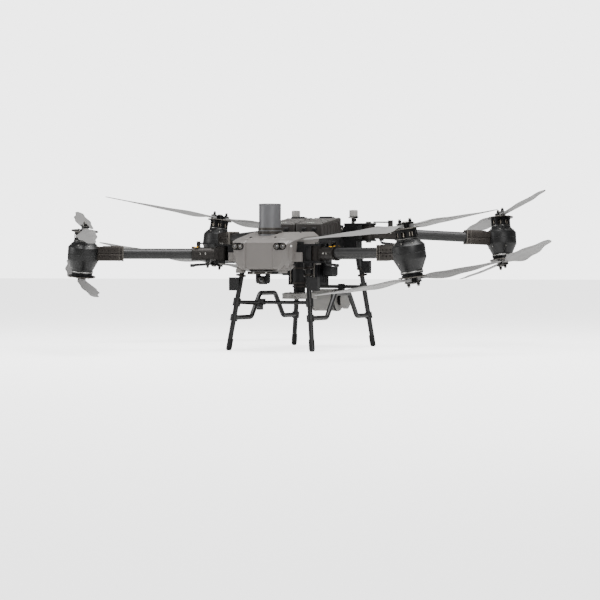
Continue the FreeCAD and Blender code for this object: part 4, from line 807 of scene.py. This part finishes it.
link_black = moulded("black link antenna case", "#101011", roughness=0.5, grain=2.2, depth=0.25)
dress(tube_carbon, "carry_handles")
dress(link_black, "link_antennas")
bar_tree = BVHTree.FromObject(frame["nodes"]["leg_crossbars"], bpy.context.evaluated_depsgraph_get())
bar_height_m = 0.239
bar_hit = bar_tree.ray_cast(Vector((-0.06, -0.6, bar_height_m)), Vector((0, 1, 0)))
bar_at = bar_hit[0] / MM + Vector((0, 9, 0))
sensor = [block(30, 26, 26, (bar_at.x, bar_at.y, bar_at.z), 3),
          block(22, 34, 30, (bar_at.x - 4, bar_at.y - 12, bar_at.z - 22), 3),
          block(40, 20, 6, (bar_at.x, bar_at.y - 4, bar_at.z + 15), 2)]
piece("height_sensor", joined(*sensor), Matrix(), "airframe", link_black)
rod = joined(moved(turned([(0, 0), (2.6, 0), (2.6, 118), (2, 120), (0, 120)], 16),
                   facing((bar_at.x - 16, bar_at.y - 8, bar_at.z - 12), (-1, 0, 0.05))),
             block(10, 10, 10, (bar_at.x - 18, bar_at.y - 8, bar_at.z - 12), 2))
piece("sensor_rod", rod, Matrix(), "airframe", bracket_metal)
eyes = [moved(turned([(0, 0), (5, 0), (5, 1.4), (3.6, 2.4), (0, 2.8)], 24),
              facing((bar_at.x - 4 + shift, bar_at.y - 29, bar_at.z - 22), (0, -1, 0)))
        for shift in (-5.5, 5.5)]
piece("sensor_eyes", joined(*eyes), Matrix(), "airframe", lens_glass)

# ---------------------------------------------------------------- camera, floor and light
# A long lens from a little above the ground, well ahead of the nose and to its left, over a
# plain pale floor, under large soft lamps.

camera_place = Vector((4.371, -9.856, 0.410))
camera_way = Vector((-0.4048, 0.9143, -0.0152))
camera_data = bpy.data.cameras.new("camera")
camera_data.sensor_width = 36
camera_data.lens = 128.1
camera_data.clip_end = 200
camera = bpy.data.objects.new("camera", camera_data)
camera.location = camera_place
camera.rotation_euler = camera_way.to_track_quat("-Z", "Y").to_euler()
bpy.context.scene.collection.objects.link(camera)
bpy.context.scene.camera = camera

floor_mesh = bpy.data.meshes.new("floor")
floor_shape = bmesh.new()
bmesh.ops.create_grid(floor_shape, x_segments=1, y_segments=1, size=60)
floor_shape.to_mesh(floor_mesh)
floor = bpy.data.objects.new("floor", floor_mesh)
bpy.context.scene.collection.objects.link(floor)
floor_paint, floor_shader = new_finish("pale floor paint", Roughness=0.9)[:2]
floor_shader.inputs["Base Color"].default_value = linear("#f4f4f3")
floor_shader.inputs["Emission Color"].default_value = linear("#ffffff")
floor_sight = add(floor_paint, "LightPath")
floor_glow = add(floor_paint, "Math", {0: floor_sight.outputs["Is Camera Ray"], 1: 2.6},
                 operation="MULTIPLY")
feed(floor_paint, floor_shader, Emission_Strength=floor_glow.outputs[0])
floor_mesh.materials.append(floor_paint)

world = bpy.data.worlds.new("studio")
world.use_nodes = True
backdrop = world.node_tree.nodes["Background"]
backdrop.inputs["Color"].default_value = linear("#fbfbfa")
backdrop.inputs["Strength"].default_value = 0.3
bright = world.node_tree.nodes.new("ShaderNodeBackground")
bright.inputs["Color"].default_value = linear("#ffffff")
bright.inputs["Strength"].default_value = 4.0
seen = world.node_tree.nodes.new("ShaderNodeLightPath")
choice = world.node_tree.nodes.new("ShaderNodeMixShader")
world.node_tree.links.new(seen.outputs["Is Camera Ray"], choice.inputs[0])
world.node_tree.links.new(backdrop.outputs[0], choice.inputs[1])
world.node_tree.links.new(bright.outputs[0], choice.inputs[2])
world.node_tree.links.new(choice.outputs[0], world.node_tree.nodes["World Output"].inputs["Surface"])
bpy.context.scene.world = world


def softbox(name, place, aim, width, height, power):
    """A large soft lamp that faces a point."""
    lamp_data = bpy.data.lights.new(name, "AREA")
    lamp_data.shape = "RECTANGLE"
    lamp_data.size, lamp_data.size_y = width, height
    lamp_data.energy = power
    lamp = bpy.data.objects.new(name, lamp_data)
    lamp.location = place
    lamp.rotation_euler = (Vector(aim) - Vector(place)).to_track_quat("-Z", "Y").to_euler()
    bpy.context.scene.collection.objects.link(lamp)


softbox("overhead", (0.5, -0.5, 4.5), (0, 0, 0.5), 5.0, 3.0, 420)
softbox("key", (4.5, -4.5, 3.0), (0, -0.3, 0.5), 2.5, 2.5, 160)
softbox("fill", (-5.0, -3.0, 1.8), (0, 0, 0.5), 2.5, 2.0, 90)
